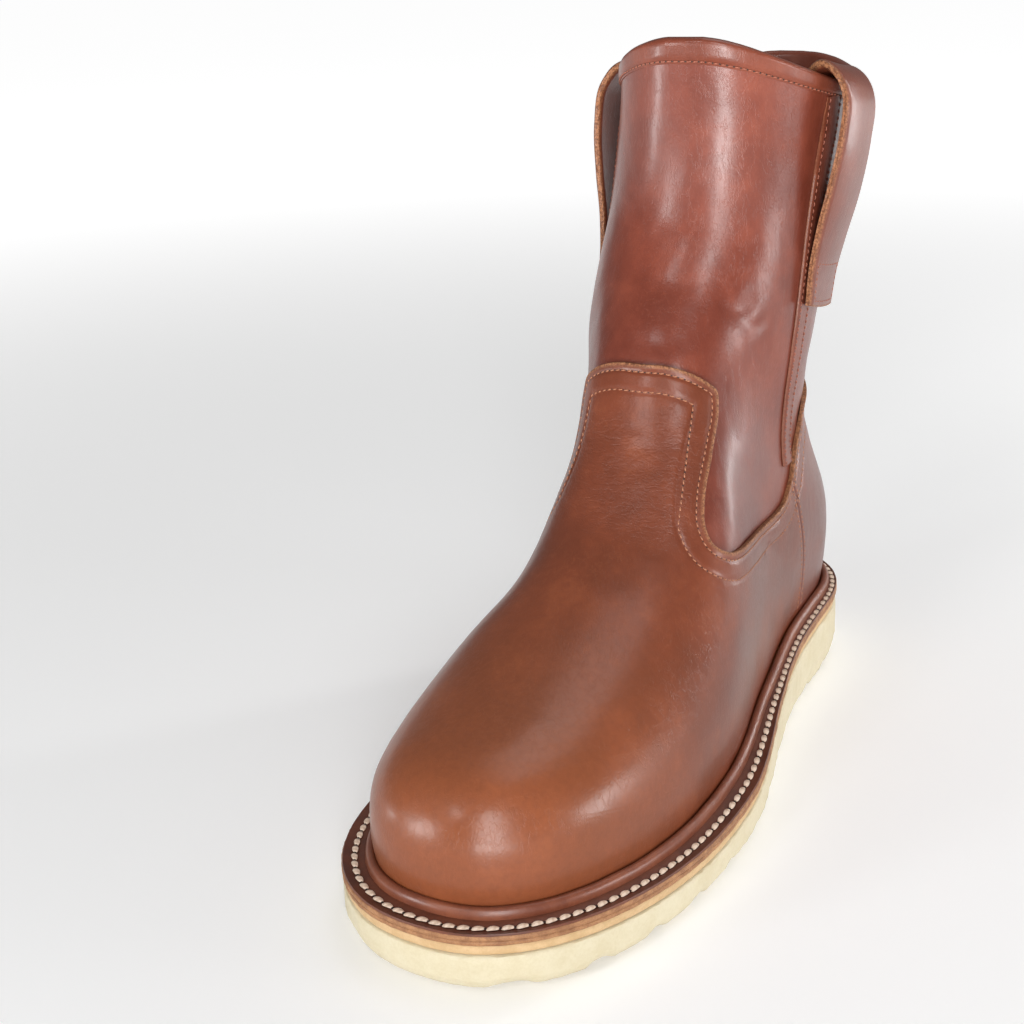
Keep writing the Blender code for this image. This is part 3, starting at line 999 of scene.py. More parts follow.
@dataclass(frozen=True)
class Plain:
    """A matt or satin stuff with a clouded colour and a fine bumpy surface."""

    name: str
    first: Colour
    second: Colour
    cloud: float = 0.006
    bumps: float = 0.0008
    depth: float = 0.00010
    roughness: float = 0.6
    coat: float = 0.0
    coat_rough: float = 0.3

    def material(self) -> bpy.types.Material:
        """Builds the material.

        Returns:
            The material.
        """
        tree = Tree(self.name)
        where = tree.place()
        clouds = tree.noise(where, self.cloud, 5.0, 0.65)
        fine = tree.noise(where, self.bumps, 3.0, 0.6)
        base = tree.mix((clouds * 0.7 + fine * 0.3).step(0.35, 0.66), self.first, self.second)
        normal = tree.bump(fine, self.depth, 0.8)
        rough = clouds * 0.2 + (self.roughness - 0.1)
        return tree.finish(
            Base_Color=base, Roughness=rough, Normal=normal,
            Coat_Weight=self.coat, Coat_Roughness=self.coat_rough,
        )


@dataclass(frozen=True)
class Crepe:
    """Pale rubber with a mottled, pebbled side, darker specks, and darker towards the floor."""

    name: str
    cream: Colour = (0.62, 0.54, 0.36)
    pale: Colour = (0.68, 0.61, 0.44)
    dark_tone: Colour = (0.48, 0.39, 0.25)
    pebble: float = 0.0021
    clouds: float = 0.014
    crumb: float = 0.0010
    darker_to: float = 0.004

    def material(self) -> bpy.types.Material:
        """Builds the material.

        Returns:
            The material.
        """
        tree = Tree(self.name)
        where = tree.place()
        _, _, z = tree.axes(where)
        cloud = tree.noise(where, self.clouds, 4.0, 0.6)
        cells = tree.cells(where, self.pebble)
        crumbs = tree.noise(where, self.crumb, 4.0, 0.7)
        base = tree.mix((cloud * 0.6 + crumbs * 0.4).step(0.36, 0.64), self.cream, self.pale)
        base = tree.mix(crumbs.step(0.60, 0.78) * 0.22, base, self.dark_tone)
        # darker towards the floor: the lowest few millimetres take up to about a third of the dark tone
        base = tree.mix((1.0 - z.step(0.0, self.darker_to)) * 0.35, base, self.dark_tone)
        normal = tree.bump(cells * 0.45 + crumbs * 0.55, 0.00022, 0.60)
        return tree.finish(Base_Color=base, Roughness=0.62 + (cloud - 0.5) * 0.2, Normal=normal)


@dataclass(frozen=True)
class Thread:
    """Twisted thread: a colour, with painted shade in the lay's grooves."""

    name: str
    light: Colour
    shade: Colour
    strand: float = 0.0006

    def material(self) -> bpy.types.Material:
        """Builds the material.

        Returns:
            The material.
        """
        tree = Tree(self.name)
        lay = tree.attribute("lay")
        fibre = tree.noise(tree.place(), self.strand, 2.0)
        # painted shade: the grooves of the lay, with some fibre noise, take the darker colour
        base = tree.mix((lay * 0.7 + fibre * 0.5).step(0.15, 0.75), self.shade, self.light)
        normal = tree.bump(lay * 0.7 + fibre * 0.3, 0.00020, 0.8)
        return tree.finish(Base_Color=base, Roughness=0.62, Normal=normal)


class Shelf:
    """Makes each finish once and puts it on pieces."""

    def __init__(self) -> None:
        """Starts empty."""
        self.made: Dict[str, bpy.types.Material] = {}

    def dress(self, obj: bpy.types.Object, finish: Union[Leather, Plain, Crepe, Thread]) -> None:
        """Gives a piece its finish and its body.

        Args:
            obj: The piece.
            finish: Its finish.
        """
        if finish.name not in self.made:
            self.made[finish.name] = finish.material()
        obj.data.materials.clear()
        obj.data.materials.append(self.made[finish.name])
        if obj.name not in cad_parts:
            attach(obj, "root")


SHELF = Shelf()
FOOT_LEATHER = Leather("foot_leather", Place.FOOT)
SHAFT_LEATHER = Leather(
    "shaft_leather", Place.SHAFT,
    dark=(0.118, 0.025, 0.014), brown=(0.178, 0.040, 0.022), pulled=(0.250, 0.062, 0.030),
)
TRIM_LEATHER = Leather(
    "trim_leather", Place.TRIM,
    dark=(0.120, 0.028, 0.015), brown=(0.180, 0.044, 0.023), pulled=(0.260, 0.070, 0.034),
)
COUNTER_LEATHER = Leather(
    "counter_leather", Place.TRIM,
    dark=(0.112, 0.026, 0.014), brown=(0.160, 0.039, 0.021), pulled=(0.235, 0.064, 0.031),
)
WELT_LEATHER = Plain(
    "welt_leather", (0.095, 0.025, 0.012), (0.155, 0.042, 0.018),
    cloud=0.010, bumps=0.0009, depth=0.00008, roughness=0.50, coat=0.08,
)
WELT_BEAD = Plain(
    "welt_bead_leather", (0.160, 0.043, 0.021), (0.235, 0.070, 0.032),
    cloud=0.012, bumps=0.0012, depth=0.00006, roughness=0.38, coat=0.2,
)
WELT_EDGE = Plain(
    "welt_edge", (0.240, 0.100, 0.040), (0.420, 0.205, 0.090), cloud=0.004, bumps=0.0006, depth=0.00014
)
LINING = Plain(
    "lining_leather", (0.080, 0.030, 0.017), (0.150, 0.065, 0.035), cloud=0.010, bumps=0.0009, roughness=0.65
)
MIDSOLE = Plain(
    "midsole_layer", (0.540, 0.350, 0.170), (0.640, 0.440, 0.235), cloud=0.005, bumps=0.0007, depth=0.00012
)
CREPE = Crepe("wedge_crepe")
TAN_THREAD = Thread("tan_thread", (0.420, 0.180, 0.095), (0.140, 0.045, 0.022))
BROWN_THREAD = Thread("brown_thread", (0.330, 0.105, 0.060), (0.110, 0.030, 0.016))
WELT_THREAD = Thread("welt_thread", (0.900, 0.720, 0.570), (0.660, 0.480, 0.350))
# painted shade: near-black stuff for the lenses that stand for the shade in the needle holes
HOLE_SHADE = Plain(
    "needle_hole_shade", (0.020, 0.008, 0.005), (0.035, 0.014, 0.008),
    cloud=0.004, bumps=0.0006, depth=0.00004, roughness=0.7,
)


# Stitches


@dataclass(frozen=True)
class Stitching:
    """A row of lock stitches: a small bowed strand from hole to hole.

    Length is a share of the pitch. Bow and flat are shares of the thread's thickness. The dome is the
    profile of the dark lens of painted shade over each needle hole: pairs of radius and height, as shares
    of the hole's reach.
    """

    pitch: float = 0.0024
    thread: float = 0.00052
    length: float = 0.76
    lean: float = 6.0
    bow: float = 0.40
    flat: float = 0.85
    along: int = 7
    around: int = 6
    hole_sides: int = 8
    hole_widest: float = 0.0009
    hole_share: float = 0.62
    dome: Tuple[Tuple[float, float], ...] = ((0.02, -0.2), (1.0, -0.1), (0.75, 0.10), (0.02, 0.16))

    def stitch(self) -> Tuple[Array, Array]:
        """One stitch at the origin, along x with z up.

        The strand's middle bows up as a half sine; its radius goes as a half sine to the power 0.4, so
        its ends close on points; lay is a stripe that winds round it, darkened by the thread's finish as
        painted shade.

        Returns:
            Points (along, around, 3) and the lay's stripe (along, around).
        """
        a = np.linspace(0.0, 1.0, self.along)[:, None]
        b = np.linspace(0, TURN, self.around, endpoint=False)[None, :]
        reach = self.pitch * self.length
        radius = self.thread / 2 * np.maximum(np.sin(math.pi * a), 0.0) ** 0.4
        x = (a - 0.5) * reach + 0 * b
        y = radius * np.cos(b)
        z = radius * np.sin(b) * self.flat + self.thread * (self.bow * np.sin(math.pi * a) - 0.12)
        cos, sin = math.cos(math.radians(self.lean)), math.sin(math.radians(self.lean))
        points = np.stack([x * cos - y * sin, x * sin + y * cos, z], -1)
        lay = 0.5 + 0.5 * np.sin(b + a * TURN * 1.5)
        return points, lay

    def frames(self, line: Array, normal: Array, closed: bool) -> Tuple[Array, Array, Array, Array]:
        """Places along a line at the pitch.

        Args:
            line: Points of the row.
            normal: The surface's normals there.
            closed: Whether the row joins itself.

        Returns:
            Middle, direction, side and up of each stitch.
        """
        if closed:
            line, normal = np.vstack([line, line[:1]]), np.vstack([normal, normal[:1]])
        walked = lengths(line)
        count = max(2, int(round(walked[-1] / self.pitch)))
        at = (np.arange(count) + 0.5) * walked[-1] / count

        def read(values: Array, places: Array) -> Array:
            """Values along the line."""
            return np.stack([np.interp(places, walked, values[:, k]) for k in range(3)], -1)

        middle = read(line, at)
        reach = self.pitch * 0.5
        ahead, behind = np.minimum(at + reach, walked[-1]), np.maximum(at - reach, 0)
        forward = unit(read(line, ahead) - read(line, behind))
        up = unit(read(normal, at))
        side = unit(np.cross(up, forward))
        return middle, forward, side, np.cross(forward, side)

    def build(self, name: str, rows: Sequence[Row], finish: Thread, slot: str) -> None:
        """All the rows as one piece, and a dark lens of painted shade at each needle hole as another.

        Args:
            name: Name of the piece.
            rows: Each row's points, normals, and whether it is closed.
            finish: The thread's finish.
            slot: Not used.
        """
        shape, lay = self.stitch()
        parts = [self.frames(*row) for row in rows]
        middle, forward, side, up = (np.concatenate([part[k] for part in parts]) for k in range(4))
        basis = np.stack([forward, side, up], 1)
        points = middle[:, None, None] + np.einsum("abk,nkj->nabj", shape, basis)
        count = len(middle)
        quads = grid_quads(self.along, self.around, False, True)
        size = self.along * self.around
        faces = (quads[None] + (np.arange(count) * size)[:, None, None]).reshape(-1, 4)
        extra = {"lay": np.broadcast_to(lay, (count, *lay.shape)).ravel()}
        obj = add_mesh(name, points.reshape(-1, 3), faces, extra)
        SHELF.dress(obj, finish)
        # painted shade: a dark lens at each needle hole
        self.shade_lenses(name + "_hole_shade", middle - forward * self.pitch * 0.5, basis)

    def shade_lenses(self, name: str, place: Array, basis: Array) -> None:
        """Low dark lens of painted shade at the start of each stitch, over its needle hole: a flattened dome,
        closed below.

        Args:
            name: Name of the piece.
            place: Where each hole lies (n, 3).
            basis: Direction, side and up there (n, 3, 3).
        """
        b = np.linspace(0, TURN, self.hole_sides, endpoint=False)
        radius, height = (np.array(self.dome)[:, k, None] for k in range(2))
        rings = np.stack([np.cos(b) * radius, np.sin(b) * radius, height + 0 * b], -1)
        rings = rings * min(self.thread, self.hole_widest) * self.hole_share
        points = place[:, None, None] + np.einsum("abk,nkj->nabj", rings, basis)
        quads = grid_quads(len(self.dome), self.hole_sides, False, True)
        size = len(self.dome) * self.hole_sides
        faces = (quads[None] + (np.arange(len(place)) * size)[:, None, None]).reshape(-1, 4)
        SHELF.dress(add_mesh(name, points.reshape(-1, 3), faces), HOLE_SHADE)


FINE_STITCH = Stitching()
WELT_STITCH = Stitching(
    pitch=0.0045, thread=0.0021, length=0.97, lean=9.0, bow=0.14, flat=0.40, along=11, around=9
)
CORNER_SHARE = 0.95


def beside(line: Array, distance: float, lift: float) -> Row:
    """A row of stitches beside a line on the form.

    The line's points move within the surface square to the line, back onto the form, and off it by the
    leather's lift and relief. Points that a tight corner brings nearer than the distance are left out.

    Args:
        line: Points of the line, on the form.
        distance: How far to the left of the line's direction, seen from outside.
        lift: Height of the leather's face over the form.

    Returns:
        Points, normals and not closed, as a row of stitches takes them.
    """
    side = unit(np.cross(LAST.normals(line), np.gradient(line, axis=0)))
    row = LAST.settle(line + side * distance)
    row = row[distance_to(line, row) > CORNER_SHARE * abs(distance)]
    normal = LAST.normals(row)
    return row + normal * (lift + relief(row))[:, None], normal, False


# Pieces


@dataclass
class Shaft:
    """The hollow upper: outer leather and the lining inside it."""

    rows: int = 200
    columns: int = 300
    lining_rows: int = 60
    outer_share: float = 0.5
    low: float = 0.0045
    even_to: float = 0.6
    behind: float = 0.00002

    def grid(self, rows: int) -> Tuple[Array, Array]:
        """Angles and loops of a grid whose columns are even on the welt and turn even on the leg.

        Args:
            rows: Number of loops.

        Returns:
            Angles and loops (rows, columns).
        """
        v = np.linspace(self.low, 1.0, rows)[:, None]
        even = LAST.even_angles(self.columns)[None, :]
        plain = np.linspace(0, TURN, self.columns, endpoint=False)[None, :]
        share = ease(v, 0.0, self.even_to)
        return even * (1 - share) + plain * share, v + 0 * even

    def build(self) -> None:
        """Outer leather as a closed wall, and the lining as another inside it."""
        around, v = self.grid(self.rows)
        outer, _ = skin(around, v, 0.0)
        around, v = self.grid(self.lining_rows)
        bare = LAST.point(around, v)
        normal = LAST.normals(bare)
        half = LAST.wall * self.outer_share
        back = bare - normal * half
        obj = ring_piece("shaft_leather_wall", np.concatenate([outer, back[::-1]]))
        SHELF.dress(obj, SHAFT_LEATHER)
        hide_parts("upper")
        inner = bare - normal * LAST.wall
        wall = np.concatenate([back - normal * self.behind, inner[::-1]])
        SHELF.dress(ring_piece("shaft_lining", wall), LINING)


def edge_path(table: Columns, steps: int) -> Array:
    """Smooth line through a table, evenly spaced on the chart.

    Args:
        table: Columns degrees and height.
        steps: How many points it gets.

    Returns:
        Angles in degrees and shares of the collar's height (steps, 2).
    """
    degrees, height = table.columns["degrees"], table.columns["height"]
    span = np.hypot(np.diff(np.radians(degrees)) * LAST.form_radius, np.diff(height * LAST.collar_height))
    at = np.concatenate([[0], np.cumsum(span)])
    t = np.linspace(0, at[-1], steps)
    return np.stack([smooth(t, at, degrees), smooth(t, at, height)], -1)


@dataclass
class Overlay:
    """What the vamp and the counter share: a layer with a rounded cut edge, laid over the upper."""

    thickness: float = 0.0016
    rounding: float = 0.0005
    rows_of_stitches: Tuple[float, ...] = (0.0029, 0.0098)
    stitch_dent: float = 0.00030
    dent_width: float = 0.0008
    raw_from: float = 0.0005
    raw_to: float = 0.0019

    def lift(self, rim: Array, from_edge: Array) -> Array:
        """Height of the top face over the form: a quarter round at its rim, less a bell a row of stitches.

        Args:
            rim: Distance from the piece's whole outline.
            from_edge: Distance from its cut edge.

        Returns:
            Heights.
        """
        r = self.rounding
        t = np.clip(rim / r, 0, 1)
        rise = self.thickness - r + r * np.sqrt(np.clip(1 - (1 - t) ** 2, 0, 1))
        for row in self.rows_of_stitches:
            rise = rise - self.stitch_dent * np.exp(-(((from_edge - row) / self.dent_width) ** 2))
        return LAST.gap + rise

    def raw(self, from_edge: Array) -> Array:
        """How raw the leather is: 1 at the cut edge, soft down to 0."""
        return 1 - ease(from_edge, self.raw_from, self.raw_to)


SEAM = Columns(
    height=(0.0, 0.155, 0.227, 0.300, 0.380, 0.550, 0.640, 0.800, 1.0),
    degrees=(118, 118, 112, 104, 98, 96, 96, 100, 106),
)


def distance_to(line: Array, points: Array) -> Array:
    """Distance from each point to the nearest piece of a line.

    Args:
        line: The line (n, 3).
        points: Places (..., 3).

    Returns:
        Distances.
    """
    near = np.full(points.shape[:-1], np.inf)
    for a, b in zip(line[:-1], line[1:]):
        way = b - a
        t = np.clip(((points - a) @ way) / max(way @ way, 1e-14), 0, 1)
        gap = points - a - t[..., None] * way
        near = np.minimum(near, np.einsum("...k,...k->...", gap, gap))
    return np.sqrt(near)


@dataclass
class Vamp(Overlay):
    """The foot's front piece with the plug that rises on the instep.

    Its grid runs from a spine, on the foot's middle line, out to the whole outline: the cut edge over
    the plug and along the side, down the side seam and back along the welt to the toe.
    """

    edge: Columns = Columns(
        degrees=(0, 9, 17, 23, 26.5, 27, 24.4, 22.5, 22.8, 25, 29, 38, 55, 80, 98),
        height=(0.620, 0.619, 0.610, 0.596, 0.583, 0.565, 0.505, 0.455, 0.420, 0.396,
                0.380, 0.370, 0.362, 0.366, 0.392),
    )
    spine_at: Tuple[float, ...] = (0.0, 0.06, 0.10, 0.133, 0.155, 0.19, 0.23, 0.35, 0.43, 0.52, 1.0)
    spine_loop: Tuple[float, ...] = (
        0.470, 0.455, 0.400, 0.340, 0.290, 0.260, 0.180, 0.165, 0.140, 0.120, 0.096
    )
    lead_at: Tuple[float, ...] = (0.0, 0.16, 0.25, 0.45, 0.56, 1.0)
    lead: Tuple[float, ...] = (1.0, 1.0, 8.0, 8.0, 1.0, 1.0)
    first_rows: Array = field(default_factory=lambda: np.array([0.0, 0.12, 0.30, 0.52]) * MM)
    first_shares: Array = field(default_factory=lambda: np.array([0.0, 0.05, 0.11, 0.18]))
    edge_columns: int = 150
    seam_columns: int = 34
    welt_columns: int = 110
    rows: int = 62
    low: float = 0.0045
    seam_low: float = 0.10
    nudge: float = 0.001
    first_step: float = 0.030
    crowding: float = 2.6
    rim_rows: int = 12
    fuzz: float = 0.00012
    cut_profile: Tuple[Tuple[float, float], ...] = ((0.66, 0.5), (0.36, 1.0), (0.0, 0.3))
    under_every: int = 4
    under_depth: float = 0.92

    def outline(self, side: float) -> Tuple[Array, Array]:
        """Half of the outline as angles and loops, from the plug's middle to the toe's.

        Args:
            side: +1 for the outer side, -1 for the inner one.

        Returns:
            Outline (n, 2), and the cut edge's points on the form.
        """
        cut = edge_path(self.edge, 400)
        line = LAST.on_leather(cut[:, 0] * side, cut[:, 1])
        line = respaced(line, self.edge_columns)
        top = LAST.locate(line)
        top[0, 0] = math.pi
        heights = np.linspace(self.edge.columns["height"][-1], self.seam_low, 60)
        seam = LAST.locate(LAST.on_leather(SEAM.read("height", "degrees", heights) * side, heights))
        keep = seam[:, 1] > self.low
        seam = np.vstack([seam[keep], [[seam[keep][-1, 0], self.low]]])
        v = np.linspace(seam[0, 1], self.low, self.seam_columns)
        down = np.stack([np.interp(-v, -seam[:, 1], seam[:, 0]), v], -1)
        table = LAST.even_angles(1200)
        turn = down[-1, 0]
        between = np.sort(table[(table > min(turn, math.pi)) & (table < max(turn, math.pi))])
        if side < 0:
            between = between[::-1]
        stops = np.concatenate([[turn], between, [math.pi]])
        around = np.interp(np.linspace(0, 1, self.welt_columns), np.linspace(0, 1, len(stops)), stops)
        low = np.stack([around, np.full_like(around, self.low)], -1)
        return np.vstack([top, down[1:], low[1:]]), line

    def rays(self, ring: Array, share: Array, q: Union[float, Array]) -> Array:
        """Points on the rays from the outline (q 0) to the spine (q 1), as angles and loops.

        The angle goes evenly with q. The loop's share is one less a power of what is left, so that rays
        below the side wing first go down and then across, clear of the corner under the plug.

        Args:
            ring: The outline's angles and loops.
            share: How far round the half outline each column starts.
            q: Shares of the way in.

        Returns:
            Angles and loops (..., 2).
        """
        spine = np.interp(share, self.spine_at, self.spine_loop)
        lead = np.interp(share, self.lead_at, self.lead)
        angle = ring[:, 0] + (math.pi - ring[:, 0]) * q
        loop = ring[:, 1] + (spine - ring[:, 1]) * (1 - (1 - q) ** lead)
        return np.stack([angle, loop], -1)

    def build(self) -> Array:
        """Makes the piece.

        Returns:
            The cut edge's points from the inner seam to the outer one.
        """
        outer, edge_out = self.outline(1.0)
        inner, edge_in = self.outline(-1.0)
        ring = np.vstack([outer, inner[1:-1][::-1]])
        walked = lengths(LAST.point(outer[:, 0], outer[:, 1]))
        share = np.concatenate([walked, walked[1:-1][::-1]]) / walked[-1]
        start = LAST.point(ring[:, 0], ring[:, 1])
        near = self.rays(ring, share, self.nudge)
        speed = np.linalg.norm(LAST.point(near[:, 0], near[:, 1]) - start, axis=-1) / self.nudge
        first = np.minimum(self.first_rows[:, None] / speed, self.first_shares[:, None])
        slope = np.minimum(1.0, self.first_step / speed)
        q = np.linspace(0, 1, self.rows)[1:, None]
        rest = first[-1] + (1 - first[-1]) * (slope * q + (1 - slope) * q ** self.crowding)
        grid = self.rays(ring, share, np.concatenate([first, rest]))
        bare = LAST.point(grid[..., 0], grid[..., 1])
        edge = np.vstack([edge_in[1:][::-1], edge_out])
        from_edge = distance_to(edge, bare)
        rim = np.ones(bare.shape[:2])
        rim[:self.rim_rows] = distance_to(np.vstack([start, start[:1]]), bare[:self.rim_rows])
        rim[0] = 0.0
        normal = LAST.normals(bare)
        top = bare + normal * (self.lift(rim, from_edge) + relief(bare))[..., None]
        fuzz = self.fuzz * wobble(bare[0] * 6, 0.02, 21)[:, None]
        out = unit(bare[0] - bare[4])
        walls = [
            bare[0] + normal[0] * (LAST.gap + self.thickness * height) + out * fuzz * part
            for height, part in self.cut_profile
        ]
        stack = np.concatenate([top[::-1], np.stack(walls)])
        mark = np.concatenate([self.raw(from_edge)[::-1], np.ones((len(walls), len(ring)))])
        obj = self.closed(stack, mark, len(ring))
        SHELF.dress(obj, FOOT_LEATHER)
        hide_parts("vamp")
        return edge

    def closed(self, stack: Array, mark: Array, around: int) -> bpy.types.Object:
        """Joins the grid into one closed piece: the spine's two sides are one, and a low floor closes it.

        Args:
            stack: Rings from the spine out and down the cut edge (rows, around, 3).
            mark: How raw the leather is there.
            around: Number of columns.

        Returns:
            The piece.
        """
        under = stack[:-len(self.cut_profile)][::-1][1::self.under_every]
        under = under - LAST.normals(under) * (self.thickness * self.under_depth)
        rings = np.concatenate([stack, under])
        values = np.concatenate([mark, np.zeros(under.shape[:2])])
        last = rings.shape[0] - 1
        number = np.arange(rings.shape[0] * around).reshape(-1, around)
        twin = (around - np.arange(around)) % around
        for row in (0, last):
            number[row] = np.where(np.arange(around) > around // 2, number[row][twin], number[row])
        quads = number.ravel()[grid_quads(rings.shape[0], around, False, True)]
        faces = [tuple(dict.fromkeys(face)) for face in quads.tolist()]
        faces = [face for face in faces if len(face) > 2]
        extra = {"edge": values.ravel()}
        return add_mesh("vamp_with_plug", rings.reshape(-1, 3), FaceList(faces), extra)


@dataclass
class Counter(Overlay):
    """The heel's piece: columns go round the heel from seam to seam, rows rise from welt to cut edge."""

    edge: Columns = Columns(degrees=(98, 115, 140, 180), height=(0.392, 0.440, 0.490, 0.525))
    columns: int = 170
    rows: int = 70
    low: float = 0.0045
    seam_low: float = 0.150
    seam_rows_at: float = 0.0019
    trim: float = 0.0008
    crowding: float = 1.25
    last_rows: Tuple[float, ...] = (0.9965, 0.9985, 1.0)
    floor: float = 0.0001
    sunk: float = 0.0001

    def seam_angle(self, v: Array) -> Array:
        """Angle round the loop of the outer side seam.

        Args:
            v: Loops.

        Returns:
            Angles in radians.
        """
        heights = np.linspace(0.62, 0.10, 80)
        seam = LAST.locate(LAST.on_leather(SEAM.read("height", "degrees", heights), heights))
        return np.interp(-v, -seam[:, 1], seam[:, 0])

    def build(self) -> Array:
        """Makes the piece.

        Returns:
            The top edge's points from the inner seam round the heel to the outer one.
        """
        cut = edge_path(self.edge, 80)
        top = LAST.locate(LAST.on_leather(cut[:, 0], cut[:, 1]))
        top[-1, 0] = 0.0
        share = top[:, 0] / self.seam_angle(top[:, 1])
        u = np.linspace(-1, 1, self.columns)
        ends = np.array([1, 1 - self.trim, 1 - 3 * self.trim])
        u = np.concatenate([-ends, u[1:-1], ends[::-1]])[None, :]
        high = np.interp(np.abs(u), share[::-1], top[::-1, 1])
        s = 1 - (1 - np.linspace(0, 1, self.rows)) ** self.crowding
        s = np.concatenate([s[:-1], self.last_rows])[:, None]
        v = self.low + (high - self.low) * s
        around = (u * self.seam_angle(v)) % TURN
        bare = LAST.point(around, v)
        normal = LAST.normals(bare)
        rim = np.concatenate([bare[:, 0], bare[-1], bare[::-1, -1]])
        gap = distance_to(rim[::2], bare)
        gap[-1], gap[:, 0], gap[:, -1] = 0.0, 0.0, 0.0
        from_edge = distance_to(bare[-1], bare)
        face = bare + normal * (self.lift(gap, from_edge) + relief(bare))[..., None]
        floor = bare + normal * self.floor
        obj = self.closed(face, floor, self.raw(from_edge))
        SHELF.dress(obj, COUNTER_LEATHER)
        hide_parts("counter")
        return bare[-1]

    def seam_rows(self) -> List[Row]:
        """Two rows of stitches beside each seam between vamp and counter.

        Returns:
            The rows.
        """
        height = np.linspace(self.edge.columns["height"][0] - 0.012, self.seam_low, 60)
        rows = []
        for side in (1.0, -1.0):
            line = LAST.on_leather(side * SEAM.read("height", "degrees", height), height)
            lift = LAST.gap + self.thickness - self.sunk
            rows += [beside(line, distance, lift) for distance in (self.seam_rows_at, -self.seam_rows_at)]
        return rows

    @staticmethod
    def closed(face: Array, floor: Array, edge: Array) -> bpy.types.Object:
        """Top face and floor joined round their rims.

        Args:
            face: The top face's points (rows, columns, 3).
            floor: The floor's points, under them.
            edge: How raw the leather is (rows, columns).

        Returns:
            The piece.
        """
        k, n = face.shape[:2]
        quads = grid_quads(k, n)
        size = k * n
        number = np.arange(size).reshape(k, n)
        rim = np.concatenate([number[0, :-1], number[:-1, -1], number[-1, :0:-1], number[:0:-1, 0]])
        nxt = np.roll(rim, -1)
        wall = np.stack([nxt, rim, rim + size, nxt + size], -1)
        faces = np.concatenate([quads, quads[:, ::-1] + size, wall])
        points = np.concatenate([face.reshape(-1, 3), floor.reshape(-1, 3)])
        return add_mesh("heel_counter", points, faces, {"edge": np.tile(edge.ravel(), 2)})


@dataclass
class SideSeams:
    """The raised strips down the shaft's side seams, and the rows of stitches beside them."""

    width: float = 0.010
    thickness: float = 0.0007
    low: float = 0.415
    high: float = 0.962
    rows: int = 90
    across: int = 14
    leg_radius: float = 0.040
    shoulder: float = 0.0007
    taper: float = 0.06
    rawness: float = 0.3
    stitch_column: int = 2

    def strip(self, name: str, side: float) -> List[Row]:
        """One strip.

        The cross-section is a flat top with rounded shoulders; its middle follows the seam.

        Args:
            name: The CAD node that it stands for.
            side: +1 for the outer side, -1 for the inner one.

        Returns:
            Its rows of stitches.
        """
        height = np.linspace(self.low, self.high, self.rows)[:, None]
        degrees = SEAM.read("height", "degrees", height)
        share = np.linspace(-0.5, 0.5, self.across)[None, :]
        wide = np.degrees(share * self.width / self.leg_radius)
        bare = LAST.on_leather(side * (degrees + wide), height + 0 * wide)
        normal = LAST.normals(bare)
        round_off = np.clip((0.5 - np.abs(share)) * self.width / self.shoulder, 0, 1)
        rise = self.thickness * np.sqrt(np.clip(1 - (1 - round_off) ** 2, 0, 1))
        rise = rise * (1 - ease(height, self.high - self.taper, self.high))
        top = bare + normal * (2 * LAST.gap + rise + relief(bare))[..., None]
        base = bare + normal * (LAST.gap * 0.6 + relief(bare))[..., None]
        rings = np.concatenate([top, base[:, ::-1]], 1)
        if side < 0:
            rings = rings[:, ::-1]
        edge = np.zeros(rings.shape[:2])
        edge[:, [0, self.across - 1, self.across, -1]] = self.rawness
        obj = strip_piece("seam_" + name, rings, {"edge": edge})
        SHELF.dress(obj, TRIM_LEATHER)
        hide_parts(name)
        columns = (self.stitch_column, self.across - 1 - self.stitch_column)
        return [(top[:, k], normal[:, k], False) for k in columns]

    def build(self) -> None:
        """Both strips and their stitches."""
        rows = self.strip("side_strip_lateral", 1.0) + self.strip("side_strip_medial", -1.0)
        FINE_STITCH.build("side_seam_stitches", rows, BROWN_THREAD, "leather")


@dataclass
class Binding:
    """The folded strip over the collar's rim, and its row of stitches."""

    depth: float = 0.0062
    thickness: float = 0.0009
    stitch_at: float = 0.0053
    columns: int = 320
    edge_round: Tuple[float, ...] = (0.05, 0.30, 0.72, 0.98, 1.0, 1.0, 1.0, 1.0)
    loop_height: float = 0.86
    crown_points: int = 9
    crown_height: float = 0.80
    sway: float = 0.00014

    def build(self) -> None:
        """Carries a hairpin profile round the rim.

        The profile starts at the strip's lower edge outside, rises along the leather, turns over the rim
        on a half circle and falls inside; its own thickness closes it.
        """
        around = np.linspace(0, TURN, self.columns, endpoint=False)
        rim_level = np.full_like(around, 1.0)
        rim = LAST.point(around, rim_level)
        low = LAST.point(around, rim_level - self.depth / (LAST.collar_height * self.loop_height))
        normal = LAST.normals(rim)
        flat = unit(normal * np.array([1.0, 1.0, 0.0]))
        up = np.array([0.0, 0.0, 1.0])
        t = np.linspace(0, 1, len(self.edge_round))[:, None, None]
        down = low + (rim - low) * t
        down_normal = LAST.normals(down)
        rise = relief(down)[..., None]
        swell = np.array(self.edge_round)[:, None, None]
        outside = down + down_normal * (LAST.gap + self.thickness * swell + rise)
        middle = rim - flat * LAST.wall / 2
        radius = LAST.wall / 2 + LAST.gap + self.thickness
        a = np.linspace(0, math.pi, self.crown_points + 2)[1:-1, None, None]
        sway = (self.sway * wobble(rim, 0.020, 31))[:, None]
        crown = middle + flat * radius * np.cos(a) + up * (radius * self.crown_height * np.sin(a) + sway)
        inside = down[::-1] - down_normal[::-1] * (LAST.wall + LAST.gap + self.thickness)
        seat = down[:1] - down_normal[:1] * (LAST.wall + LAST.gap * 0.5)
        heel = down[:1] + down_normal[:1] * (LAST.gap * 0.5)
        rings = np.concatenate([heel, outside, crown, inside, seat])
        obj = ring_piece("collar_roll", rings, {"edge": np.zeros(rings.shape[:2])})
        SHELF.dress(obj, TRIM_LEATHER)
        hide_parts("collar_binding")
        share = 1 - self.stitch_at / self.depth
        line = low + (rim - low) * share
        normal = LAST.normals(line)
        line = line + normal * (LAST.gap + self.thickness * 0.5 + relief(line))[:, None]
        FINE_STITCH.build("collar_stitches", [(line, normal, True)], BROWN_THREAD, "leather")


